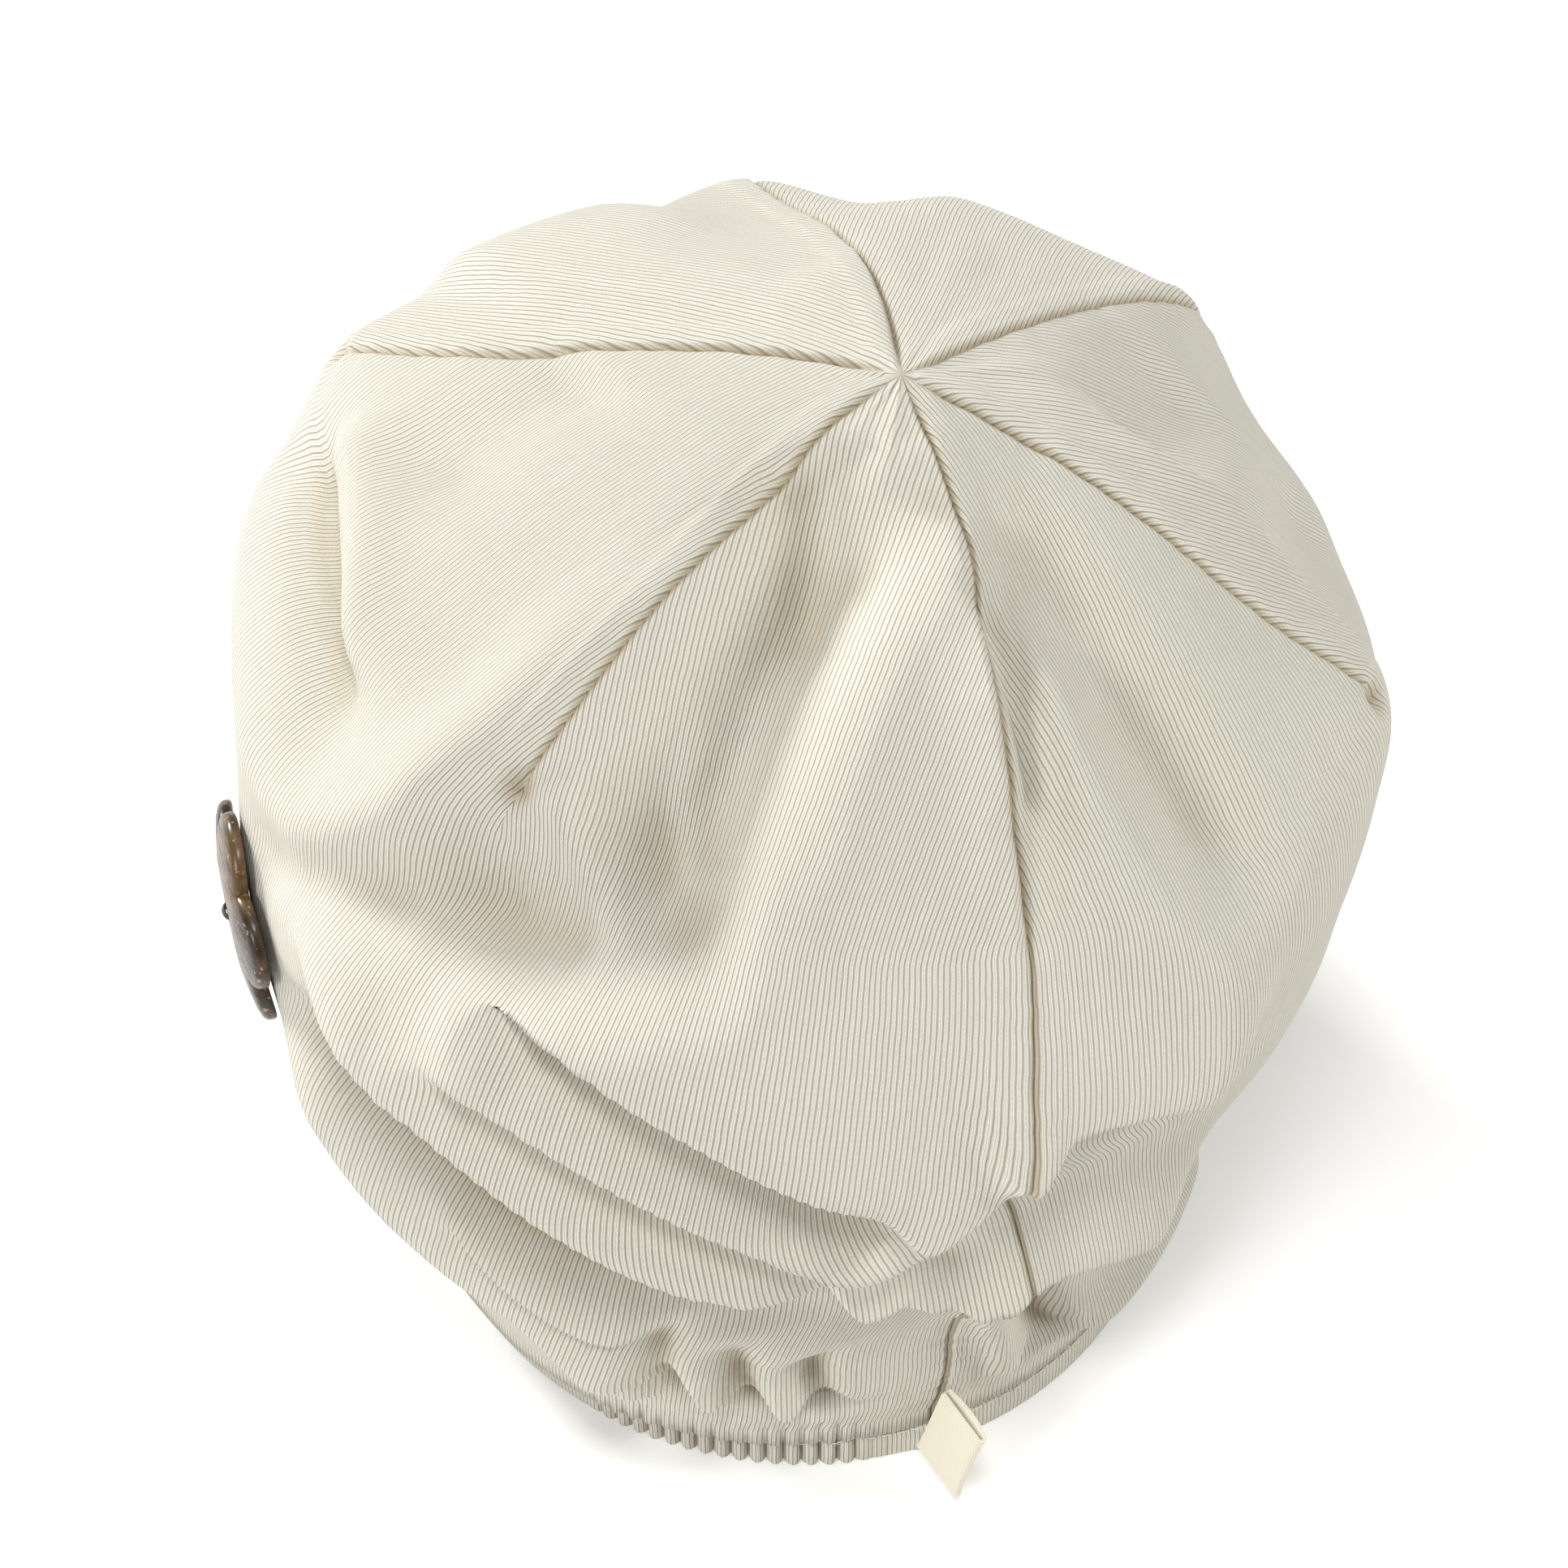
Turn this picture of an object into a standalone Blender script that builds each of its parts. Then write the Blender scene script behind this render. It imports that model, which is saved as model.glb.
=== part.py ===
"""A slouchy jersey beanie: one tube of cloth gathered to a point by five darts and a back seam,
an elastic hem band, a folded ribbon label in the back seam and a flower button on the left side.
Metres, +Z up. The forehead faces -Y, the back seam +Y and the wearer's left side +X."""

import math

import bpy
import bmesh
import numpy as np
from mathutils import Vector
from mathutils.bvhtree import BVHTree

# Driving sizes of the hat, in metres
HEM_WIDTH = 0.160
HEM_DEPTH = 0.188
HAT_HEIGHT = 0.184
CLOTH_LENGTH = 0.250
APEX_RIGHT = 0.024
APEX_FRONT = 0.010

# Cloth, hem band and the gap that separate pieces keep
CLOTH_WALL = 0.0012
BAND_HEIGHT = 0.0080
BAND_WALL = 0.0024
GAP = 0.0003

# Folds: the lift and width that the fold table's shares are of
FOLD_LIFT = 0.010
FOLD_WIDTH = 0.010

# The sharpest edge of a fold that the solid's faces can follow. A sharper one is wider and lower.
FOLD_EDGE = 0.0075

# The least reach from the apex's own centre that folds and seams are measured at
LEAST_REACH = 0.004

# Seams: a stitched groove, the welt of folded cloth beside it, and the dart's raised and pinched tip
SEAM_GROOVE = 0.0016
SEAM_GROOVE_WIDTH = 0.0013
WELT_LIFT = 0.0009
WELT_WIDTH = 0.0065
TIP_CORNER = 0.006
TIP_CORNER_WIDTH = 0.016
TIP_PIT = 0.0022
TIP_PIT_WIDTH = 0.0026

# Elastic pleats of the hem: the stretch that they fill and their pitch, in degrees round the hat
PLEAT_LIFT = 0.0009
PLEATS_FROM = 8
PLEATS_TO = 46
PLEAT_PITCH = 2.1

# Ribbon label, folded in half and sewn into the back seam
LABEL_HEIGHT = 0.0160
LABEL_REACH = 0.0130
LABEL_FOOT = 0.0038
LABEL_DROOP = 0.0012
LABEL_TURN = 19
RIBBON_WALL = 0.0007
RIBBON_OPEN = 0.0006

# Flower button and the thread through its two holes
FLOWER_BEARING = 94
FLOWER_UP = 0.39
FLOWER_RADIUS = 0.0220
FLOWER_WALL = 0.0030
FLOWER_DOME = 0.0008
FLOWER_BEND = 0.0022
FLOWER_FLAT = 0.2
FLOWER_PETALS = 5
FLOWER_ROLL = 14
PETAL_NOTCH = 0.26
HOLE_RADIUS = 0.0013
HOLE_SPREAD = 0.0032
THREAD_RADIUS = 0.0007
THREAD_RISE = 0.0006

# The flower's rim, from its back to its face: shares of the petals' reach and of its wall
FLOWER_SECTION = ((0.45, 0.0), (0.96, 0.0), (1.0, 0.25), (1.0, 0.65), (0.95, 1.0), (0.45, 1.0))

# How far outside the cloth the search for a piece's seat starts
SEAT_SEARCH = 0.03

# How finely the solids are divided. A row for each zone of the cloth, from the hem up.
COLUMN_CROWD = 0.6
ROW_ZONE_COLUMNS = ("to_up", "rows")
ROW_ZONES = ((0.20, 9), (0.64, 18), (1.00, 9))
FOLD_STEPS = 33
BAND_PLEAT_COLUMNS = 58
BAND_PLAIN_COLUMNS = 48
FLOWER_COLUMNS = 40

# A row for each ring of the cloth, from the hem up. up is a share of the cloth's length, lean of the
# apex's shift and the rises of the hat's height. The rest are reaches in eight directions, as shares
# of the hem's own radius there.
RING_COLUMNS = ("up", "lean", "rise_back", "rise_left", "rise_front", "rise_right", "back", "back_left",
                "left", "front_left", "front", "front_right", "right", "back_right")
RINGS = (
    (0.00, 0.00, 0.00, 0.00, 0.00, 0.00, 1.00, 1.05, 1.00, 1.00, 1.00, 0.98, 0.95, 0.94),
    (0.04, 0.00, 0.05, 0.05, 0.05, 0.05, 1.00, 1.07, 1.02, 1.00, 1.00, 0.99, 0.96, 0.94),
    (0.12, 0.00, 0.13, 0.14, 0.16, 0.13, 1.01, 1.13, 1.12, 1.04, 1.02, 1.03, 1.02, 0.97),
    (0.24, 0.00, 0.26, 0.28, 0.34, 0.28, 1.02, 1.18, 1.25, 1.11, 1.05, 1.08, 1.14, 1.08),
    (0.36, 0.10, 0.40, 0.42, 0.50, 0.43, 1.06, 1.23, 1.34, 1.20, 1.06, 1.12, 1.22, 1.19),
    (0.46, 0.20, 0.52, 0.55, 0.61, 0.56, 1.12, 1.25, 1.37, 1.25, 1.08, 1.13, 1.24, 1.24),
    (0.56, 0.30, 0.66, 0.69, 0.71, 0.68, 1.14, 1.20, 1.33, 1.28, 1.07, 1.12, 1.24, 1.26),
    (0.66, 0.40, 0.78, 0.82, 0.80, 0.76, 1.02, 1.06, 1.18, 1.19, 1.00, 1.03, 1.12, 1.16),
    (0.78, 0.60, 0.88, 0.92, 0.90, 0.87, 0.72, 0.77, 0.86, 0.85, 0.75, 0.78, 0.85, 0.82),
    (0.90, 0.85, 0.95, 0.97, 0.97, 0.95, 0.36, 0.38, 0.42, 0.41, 0.39, 0.40, 0.43, 0.41),
    (1.00, 1.00, 1.00, 1.00, 1.00, 1.00, 0.00, 0.00, 0.00, 0.00, 0.00, 0.00, 0.00, 0.00),
)

# A row for each seam. Bearings are degrees round from the back towards the left, at the apex, halfway
# and at the dart's tip, whose height is tip_up. welt_side is 1 towards greater bearings, corner is a
# share of the raised tip and panel_columns divides the panel that follows the seam.
SEAM_COLUMNS = ("name", "top", "middle", "tip", "tip_up", "welt_side", "corner", "panel_columns")
SEAMS = (
    ("back", -9, -5, -1, 0.62, -1, 0.0, 17),
    ("left_rear", 76, 63, 61, 0.69, 1, 0.3, 11),
    ("left_front", 138, 131, 137, 0.65, 1, 0.6, 8),
    ("front", 200, 192, 188, 0.67, -1, 1.0, 8),
    ("right_front", 248, 246, 248, 0.66, -1, 0.8, 8),
    ("right_rear", 304, 308, 306, 0.65, -1, 0.8, 13),
)

# The back seam's whole path, hem to apex: up and bearing
BACK_SEAM = ((0.00, 5), (0.07, 2), (0.13, 1), (0.22, 0), (0.27, -4), (0.34, -4), (0.42, -1), (0.465, 3),
             (0.52, 1), (0.61, -1), (0.73, -2), (0.86, -5), (0.93, -9), (1.00, -9))

# A row for each fold: where it starts, passes and ends, its lift, negative for a valley, its widths over
# and under the crest and how far it sags. The last four are shares of the fold sizes above.
FOLD_COLUMNS = ("name", "from_bearing", "from_up", "by_bearing", "by_up", "to_bearing", "to_up",
                "lift", "over", "under", "sag")
FOLDS = (
    ("side crease", 128, 0.645, 106, 0.668, 78, 0.615, -0.80, 0.35, 0.55, 0.00),
    ("side crease edge", 126, 0.690, 106, 0.710, 86, 0.660, 0.35, 0.60, 0.40, 0.00),
    ("side bulge", 136, 0.560, 108, 0.590, 84, 0.540, 0.40, 0.90, 1.20, 0.00),
    ("left facet dent", 128, 0.850, 117, 0.800, 105, 0.720, -0.45, 1.20, 1.20, 0.00),
    ("rear left ridge", 100, 0.500, 72, 0.640, 70, 0.900, 0.50, 0.90, 1.00, 0.00),
    ("bowl", 36, 0.960, 39, 0.800, 44, 0.640, -1.15, 1.30, 1.30, 0.00),
    ("bowl top", 66, 0.950, 44, 0.915, 36, 0.810, -0.50, 0.50, 0.90, 0.00),
    ("back ridge", 14, 0.900, 18, 0.780, 20, 0.640, 0.35, 0.90, 1.10, 0.00),
    ("bowl floor", 66, 0.575, 47, 0.640, 26, 0.660, -0.75, 2.00, 0.80, 0.00),
    ("bowl left pleat", 60, 0.720, 50, 0.670, 40, 0.635, 0.30, 0.40, 0.30, 0.00),
    ("bowl right pleat", 44, 0.810, 42, 0.730, 34, 0.665, 0.25, 0.40, 0.35, 0.00),
    ("flower valley", 96, 0.470, 70, 0.568, 34, 0.650, -0.60, 0.85, 0.70, 0.00),
    ("shelf", 90, 0.485, 52, 0.565, 0, 0.640, 0.60, 1.20, 1.60, 0.00),
    ("rear lip", 64, 0.572, 37, 0.566, 10, 0.476, 1.00, 1.60, 0.22, 0.75),
    ("rear lip tuck", 58, 0.535, 36, 0.520, 12, 0.435, -0.55, 0.25, 0.45, 0.00),
    ("rear lip rise", 18, 0.455, 8, 0.490, -2, 0.540, 0.60, 0.80, 0.22, 0.45),
    ("seam overhang", -2, 0.940, -1, 0.790, 2, 0.570, 0.45, 0.14, 1.20, 0.00),
    ("seam gap", -7, 0.890, -6, 0.810, -5, 0.700, -0.60, 0.50, 0.14, 0.00),
    ("right hollow", -22, 0.960, -24, 0.800, -28, 0.600, -0.70, 0.90, 0.90, 0.00),
    ("right ridge", -12, 0.860, -13, 0.690, -29, 0.520, 0.50, 0.90, 1.00, 0.00),
    ("right lip", 5, 0.515, -9, 0.540, -27, 0.485, 0.75, 1.50, 0.25, 0.60),
    ("right lip tuck", 3, 0.480, -9, 0.500, -27, 0.445, -0.50, 0.30, 0.50, 0.00),
    ("right dent", -74, 0.860, -86, 0.830, -98, 0.760, -0.40, 1.30, 1.30, 0.00),
    ("right side dent", -62, 0.690, -74, 0.670, -90, 0.650, -0.40, 1.60, 1.60, 0.00),
    ("second roll", 68, 0.566, 34, 0.500, -2, 0.328, 0.75, 0.45, 0.22, 0.45),
    ("third roll", 76, 0.560, 46, 0.470, 12, 0.355, 0.95, 0.60, 0.22, 0.60),
    ("third roll rise", 24, 0.352, 10, 0.345, -5, 0.318, 0.70, 0.50, 0.22, 0.50),
    ("deep valley", 86, 0.450, 58, 0.335, 6, 0.255, -0.45, 0.60, 0.45, 0.00),
    ("low roll", 88, 0.440, 56, 0.270, 2, 0.205, 0.50, 0.55, 1.00, 0.10),
    ("low lip", 60, 0.340, 46, 0.285, 30, 0.255, 0.45, 0.45, 0.25, 0.40),
    ("right low lip", 4, 0.345, -11, 0.332, -28, 0.260, 0.70, 0.80, 0.25, 0.55),
    ("right pocket", -9, 0.240, -12, 0.150, -15, 0.080, -0.75, 0.35, 0.50, 0.00),
    ("right pouch", -3, 0.260, -5, 0.170, -7, 0.080, 0.45, 0.40, 0.40, 0.20),
    ("right hem pouch", -8, 0.120, -32, 0.095, -60, 0.110, 0.48, 0.60, 0.35, 0.40),
    ("hem pouch", 50, 0.220, 30, 0.170, 8, 0.120, 0.35, 0.70, 0.40, 0.25),
    ("gather bulge one", 39, 0.230, 37, 0.160, 35, 0.070, 0.40, 0.40, 0.45, 0.20),
    ("gather one", 32, 0.180, 31, 0.130, 29, 0.065, -0.75, 0.28, 0.30, 0.00),
    ("gather bulge two", 29, 0.200, 27, 0.140, 26, 0.060, 0.45, 0.35, 0.35, 0.20),
    ("gather two", 24, 0.140, 23, 0.105, 22, 0.065, -0.75, 0.28, 0.30, 0.00),
    ("gather bulge three", 22, 0.170, 20, 0.110, 19, 0.055, 0.40, 0.35, 0.35, 0.20),
    ("gather three", 17, 0.115, 16, 0.090, 14, 0.065, -0.60, 0.28, 0.30, 0.00),
    ("right side roll", -50, 0.480, -80, 0.440, -112, 0.470, 0.20, 1.20, 0.80, 0.20),
    ("right side valley", -45, 0.330, -80, 0.300, -120, 0.340, -0.25, 1.00, 1.00, 0.00),
    ("front roll", 215, 0.500, 180, 0.460, 145, 0.490, 0.25, 1.30, 0.90, 0.15),
    ("front left bulge", 146, 0.690, 160, 0.710, 178, 0.690, 0.48, 2.00, 2.20, 0.00),
    ("front right bulge", 202, 0.690, 228, 0.710, 260, 0.690, 0.60, 2.00, 2.20, 0.00),
    ("front dent", 186, 0.900, 178, 0.840, 172, 0.760, -0.20, 1.20, 1.20, 0.00),
)

# Surfaces of the pieces: colour, roughness and metallic value
FINISHES = {
    "jersey": ((0.80, 0.74, 0.64), 0.90, 0.0),
    "ribbon": ((0.87, 0.81, 0.66), 0.80, 0.0),
    "coconut_shell": ((0.06, 0.035, 0.02), 0.35, 0.0),
    "thread": ((0.10, 0.06, 0.04), 0.80, 0.0),
}
COLLECTION = "flower_beanie"


def spline(places, values, at):
    """A smooth curve through the values, which stand at places, read at each place of at."""
    places = np.asarray(places, float)
    values = np.asarray(values, float)
    gaps = np.diff(places)
    shape = (-1,) + (1,) * (values.ndim - 1)
    slopes = np.diff(values, axis=0) / gaps.reshape(shape)
    tangents = np.concatenate([slopes[:1], (slopes[:-1] + slopes[1:]) / 2, slopes[-1:]])
    k = np.clip(np.searchsorted(places, at, side="right") - 1, 0, len(places) - 2)
    gap = gaps[k].reshape(shape)
    s = ((at - places[k]) / gaps[k]).reshape(shape)
    here = (2 * s**3 - 3 * s**2 + 1) * values[k] + (s**3 - 2 * s**2 + s) * gap * tangents[k]
    after = (3 * s**2 - 2 * s**3) * values[k + 1] + (s**3 - s**2) * gap * tangents[k + 1]
    return here + after


def around(values, bearing):
    """Reads each row of values, which stand at even bearings round the hat, at its own bearing."""
    count = values.shape[1]
    place = (bearing / 360 * count) % count
    k = np.floor(place).astype(int) % count
    s = place - np.floor(place)
    rows = np.arange(values.shape[0])
    a, b, c, d = (values[rows, (k + j) % count] for j in (-1, 0, 1, 2))
    return b + 0.5 * s * (c - a + s * (2 * a - 5 * b + 4 * c - d + s * (3 * (b - c) + d - a)))


def smooth(low, high, x):
    """A soft step from 0 at low to 1 at high."""
    s = np.clip((x - low) / (high - low), 0, 1)
    return s * s * (3 - 2 * s)


def turned(angle):
    """The same direction, between -180 and 180 degrees."""
    return (angle + 180) % 360 - 180


def arc_through(start, middle, end, s):
    """A parabola from start through middle to end, read at s."""
    pull = 2 * middle - (start + end) / 2
    return (1 - s)**2 * start + 2 * s * (1 - s) * pull + s**2 * end


def table_rows(columns, rows):
    return [dict(zip(columns, row)) for row in rows]


def ring_values(up):
    """The ring table's columns after up, read at each height."""
    table = np.array(RINGS)
    return spline(table[:, 0], table[:, 1:], up)


def hem_radius(bearing):
    a = np.radians(bearing)
    return 1 / np.hypot(np.sin(a) / (HEM_WIDTH / 2), np.cos(a) / (HEM_DEPTH / 2))


def reach(bearing, up):
    """The cloth's distance from its ring's own centre."""
    return hem_radius(bearing) * around(ring_values(up)[:, 5:], bearing)


def form(bearing, up):
    """Points of the hat's form without its folds and seams."""
    row = ring_values(up)
    r = reach(bearing, up)
    a = np.radians(bearing)
    x = r * np.sin(a) - row[:, 0] * APEX_RIGHT
    y = r * np.cos(a) - row[:, 0] * APEX_FRONT
    z = around(row[:, 1:5], bearing) * HAT_HEIGHT
    return np.stack([x, y, z], axis=1)


def form_normal(bearing, up):
    """Outward directions of the form."""
    step = 0.004
    below_apex = np.minimum(up, 0.99)
    along = form(bearing, np.clip(up + step, 0, 0.995)) - form(bearing, np.clip(up - step, 0, 0.985))
    across = form(bearing + 0.5, below_apex) - form(bearing - 0.5, below_apex)
    n = np.cross(along, across)
    return n / np.linalg.norm(n, axis=1, keepdims=True)


def fold_profile(fold, bearing, up, r):
    """1 on the fold's crest, falling to 0 over its width at each side and at both ends."""
    s = np.linspace(0, 1, FOLD_STEPS)
    path_bearing = arc_through(fold["from_bearing"], fold["by_bearing"], fold["to_bearing"], s)
    path_up = arc_through(fold["from_up"], fold["by_up"], fold["to_up"], s)
    scale = np.radians(r)
    nearest = np.full(bearing.shape, np.inf)
    above = np.zeros(bearing.shape, bool)
    place = np.zeros(bearing.shape)
    for i in range(FOLD_STEPS - 1):
        ax = turned(bearing - path_bearing[i]) * scale
        ay = (up - path_up[i]) * CLOTH_LENGTH
        tx = (path_bearing[i + 1] - path_bearing[i]) * scale
        ty = (path_up[i + 1] - path_up[i]) * CLOTH_LENGTH
        k = np.clip((ax * tx + ay * ty) / np.maximum(tx * tx + ty * ty, 1e-12), 0, 1)
        dx = ax - k * tx
        dy = ay - k * ty
        distance = np.hypot(dx, dy)
        closer = distance < nearest
        nearest = np.where(closer, distance, nearest)
        above = np.where(closer, tx * dy - ty * dx <= 0, above)
        place = np.where(closer, (i + k) / (FOLD_STEPS - 1), place)
    ends = smooth(0, 0.3, place) * smooth(0, 0.3, 1 - place)
    over = max(fold["over"] * FOLD_WIDTH, FOLD_EDGE)
    under = max(fold["under"] * FOLD_WIDTH, FOLD_EDGE)
    lowered = (fold["over"] + fold["under"]) * FOLD_WIDTH / (over + under)
    width = np.where(above, over, under) * (0.55 + 0.45 * ends)
    return np.exp(-(nearest / width)**2) * ends * lowered


def seam_bearing(seam, up):
    """A seam's bearing at each height. A dart's seam keeps its tip's bearing below the tip."""
    if seam["name"] == "back":
        path = np.array(BACK_SEAM, float)
        return spline(path[:, 0], path[:, 1], up)
    s = np.clip((1 - up) / (1 - seam["tip_up"]), 0, 1)
    return arc_through(seam["top"], seam["middle"], seam["tip"], s)


def seam_relief(seam, bearing, up, r):
    """Lift of the cloth at a seam: its groove, the welt beside it, and a dart's raised, pinched tip."""
    aside = turned(bearing - seam_bearing(seam, up)) * np.radians(r)
    beyond = (up - seam["tip_up"]) * CLOTH_LENGTH
    out = aside * seam["welt_side"]
    welt = smooth(0, 0.2 * WELT_WIDTH, out) * (1 - smooth(0.8 * WELT_WIDTH, 1.25 * WELT_WIDTH, out))
    groove = np.exp(-(aside / SEAM_GROOVE_WIDTH)**2)
    lift = (1 - smooth(0.97, 1.0, up)) * (WELT_LIFT * welt - SEAM_GROOVE * groove)
    if seam["name"] == "back":
        return lift
    from_tip = np.hypot(aside, beyond)
    corner = seam["corner"] * TIP_CORNER * np.exp(-(from_tip / TIP_CORNER_WIDTH)**2)
    pit = TIP_PIT * np.exp(-(from_tip / TIP_PIT_WIDTH)**2)
    return lift * smooth(-0.3 * WELT_WIDTH, 0.6 * WELT_WIDTH, beyond) + corner - pit


def pleats(bearing):
    """Lift of the small pleats that the elastic gathers at the back of the hem."""
    here = turned(bearing)
    where = smooth(0, 6, here - PLEATS_FROM) * smooth(0, 6, PLEATS_TO - here)
    return PLEAT_LIFT * where * (2 * np.abs(np.cos(math.pi * here / PLEAT_PITCH))**0.7 - 1.4)


def cloth(bearing, up):
    """Points of the cloth's outside, from its bearing and its height between the hem 0 and apex 1."""
    r = np.maximum(reach(bearing, up), LEAST_REACH)
    above_hem = smooth(0.03, 0.09, up)
    lift = np.zeros(up.shape)
    sag = np.zeros(up.shape)
    for fold in table_rows(FOLD_COLUMNS, FOLDS):
        profile = fold_profile(fold, bearing, up, r) * FOLD_LIFT * above_hem
        lift += fold["lift"] * profile
        sag += fold["sag"] * profile
    for seam in table_rows(SEAM_COLUMNS, SEAMS):
        lift += seam_relief(seam, bearing, up, r)
    points = form(bearing, up) + form_normal(bearing, up) * lift[:, None]
    points[:, 2] -= sag
    return points


def column_bearings(up, finer, crowd):
    """Bearings of columns that follow the seams and crowd towards them, a row for each height."""
    seams = table_rows(SEAM_COLUMNS, SEAMS)
    paths = [seam_bearing(seam, up) for seam in seams]
    paths.append(paths[0] + 360)
    panels = []
    for seam, left, right in zip(seams, paths, paths[1:]):
        count = round(seam["panel_columns"] * finer)
        s = np.arange(count) / count
        s = s - crowd * np.sin(math.tau * s) / math.tau
        panels.append(left[:, None] + (right - left)[:, None] * s)
    return np.concatenate(panels, axis=1)


def row_heights(first, finer):
    """Heights of the cloth's rows between first and the apex, as the row zones divide it."""
    heights = []
    low = first
    for zone in table_rows(ROW_ZONE_COLUMNS, ROW_ZONES):
        heights.append(np.linspace(low, zone["to_up"], round(zone["rows"] * finer), endpoint=False))
        low = zone["to_up"]
    return np.concatenate(heights)


def finish(name):
    """The material of one finish, made once."""
    found = bpy.data.materials.get(name)
    if found:
        return found
    colour, roughness, metallic = FINISHES[name]
    material = bpy.data.materials.new(name)
    material.use_nodes = True
    shader = material.node_tree.nodes["Principled BSDF"]
    shader.inputs["Base Color"].default_value = (*colour, 1)
    shader.inputs["Roughness"].default_value = roughness
    shader.inputs["Metallic"].default_value = metallic
    return material


def add_piece(name, bm, finish_name, smooth_angle=50):
    """A named object from a bmesh, in the hat's collection and on the hat's own origin."""
    bmesh.ops.recalc_face_normals(bm, faces=bm.faces)
    mesh = bpy.data.meshes.new(name)
    bm.to_mesh(mesh)
    bm.free()
    mesh.materials.append(finish(finish_name))
    mesh.shade_smooth()
    mesh.set_sharp_from_angle(angle=math.radians(smooth_angle))
    piece = bpy.data.objects.new(name, mesh)
    bpy.data.collections[COLLECTION].objects.link(piece)
    piece.parent = bpy.data.objects["hat_origin"]
    return piece


def grid_faces(bm, rows, closed_rows):
    """Quads between rows of vertices that run right round, and from the last row to the first."""
    pairs = list(zip(rows, rows[1:]))
    if closed_rows:
        pairs.append((rows[-1], rows[0]))
    for low, high in pairs:
        count = len(low)
        for j in range(count):
            k = (j + 1) % count
            bm.faces.new((low[j], low[k], high[k], high[j]))


def add_crown():
    """The jersey tube above the hem band: an open skin with the cloth's wall inside it."""
    foot = BAND_HEIGHT + GAP
    up = row_heights(1.2 * foot / HAT_HEIGHT, 1)
    bearing = column_bearings(up, 1, COLUMN_CROWD)
    heights = np.repeat(up[:, None], bearing.shape[1], axis=1)
    points = cloth(bearing.ravel(), heights.ravel()).reshape(bearing.shape + (3,))
    edge = points[0].copy()
    edge[:, 2] = foot
    bm = bmesh.new()
    rows = [[bm.verts.new(p) for p in row] for row in (edge, *points)]
    grid_faces(bm, rows, closed_rows=False)
    apex = bm.verts.new(cloth(np.array([0.0]), np.array([1.0]))[0])
    last = rows[-1]
    for j, vertex in enumerate(last):
        bm.faces.new((vertex, last[(j + 1) % len(last)], apex))
    crown = add_piece("crown_cloth", bm, "jersey")
    wall = crown.modifiers.new("cloth_wall", "SOLIDIFY")
    wall.thickness = CLOTH_WALL
    wall.offset = -1
    return crown


def band_bearings():
    """Bearings round the hem band, close together where the elastic pleats it."""
    pleated = np.linspace(PLEATS_FROM, PLEATS_TO, BAND_PLEAT_COLUMNS, endpoint=False)
    plain = np.linspace(PLEATS_TO, PLEATS_FROM + 360, BAND_PLAIN_COLUMNS, endpoint=False)
    return np.concatenate([pleated, plain])


def add_band():
    """The turned hem that holds the elastic: a ring with a flat foot and a chamfered outer edge."""
    bearing = band_bearings()
    outside = cloth(bearing, np.zeros(bearing.shape))[:, :2]
    inward = outside.mean(axis=0) - outside
    inward /= np.linalg.norm(inward, axis=1, keepdims=True)
    outside -= inward * pleats(bearing)[:, None]
    chamfer = BAND_WALL / 4
    section = ((chamfer, 0.0), (0.0, chamfer), (0.0, BAND_HEIGHT), (BAND_WALL, BAND_HEIGHT), (BAND_WALL, 0.0))
    bm = bmesh.new()
    rows = []
    for inset, height in section:
        flat = outside + inward * inset
        rows.append([bm.verts.new((x, y, height)) for x, y in flat])
    grid_faces(bm, rows, closed_rows=True)
    return add_piece("hem_band", bm, "jersey")


def label_outline():
    """The folded ribbon seen from above: distances out from the seam and to the side, in order."""
    inner = RIBBON_OPEN / 2
    outer = inner + RIBBON_WALL
    turn = LABEL_REACH - outer
    angles = np.radians(np.linspace(90, -90, 7))
    straight = np.linspace(0, turn, 5)[:-1]
    outside = [(d, outer) for d in straight]
    outside += [(turn + outer * math.cos(a), outer * math.sin(a)) for a in angles]
    outside += [(d, -outer) for d in straight[::-1]]
    inside = [(d, -inner) for d in straight]
    inside += [(turn + inner * math.cos(a), inner * math.sin(a)) for a in angles[::-1]]
    inside += [(d, inner) for d in straight[::-1]]
    return outside + inside


def surface_of(pieces):
    """A search tree over the finished walls of some pieces."""
    depsgraph = bpy.context.evaluated_depsgraph_get()
    bm = bmesh.new()
    for piece in pieces:
        shown = piece.evaluated_get(depsgraph)
        bm.from_mesh(shown.to_mesh())
        shown.to_mesh_clear()
    tree = BVHTree.FromBMesh(bm)
    bm.free()
    return tree


def seated(surface, place, away, offsets):
    """place, moved along away until it stands a gap off the surface at each offset across it."""
    reaches = []
    for offset in offsets:
        hit = surface.ray_cast(place + offset + away * SEAT_SEARCH, -away)[0]
        if hit:
            reaches.append((hit - place - offset).dot(away))
    return place + away * (max(reaches) + GAP)


def label_roots(surface, seam, heights, away, side):
    """Where the label's ends stand at each height: a gap out from the cloth and band behind them."""
    ups = np.linspace(0, 0.3, 31)
    seam_heights = form(seam_bearing(seam, ups), ups)[:, 2]
    half = RIBBON_WALL + RIBBON_OPEN / 2
    spacing = LABEL_HEIGHT / (len(heights) - 1)
    offsets = [side * a + Vector((0, 0, h)) for a in np.linspace(-half, half, 7)
               for h in np.linspace(-spacing / 2, spacing / 2, 5)]
    roots = []
    for height in heights:
        up = np.array([np.interp(height, seam_heights, ups)])
        place = Vector(form(seam_bearing(seam, up), up)[0])
        place.z = height
        roots.append(seated(surface, place, away, offsets))
    return roots


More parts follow.
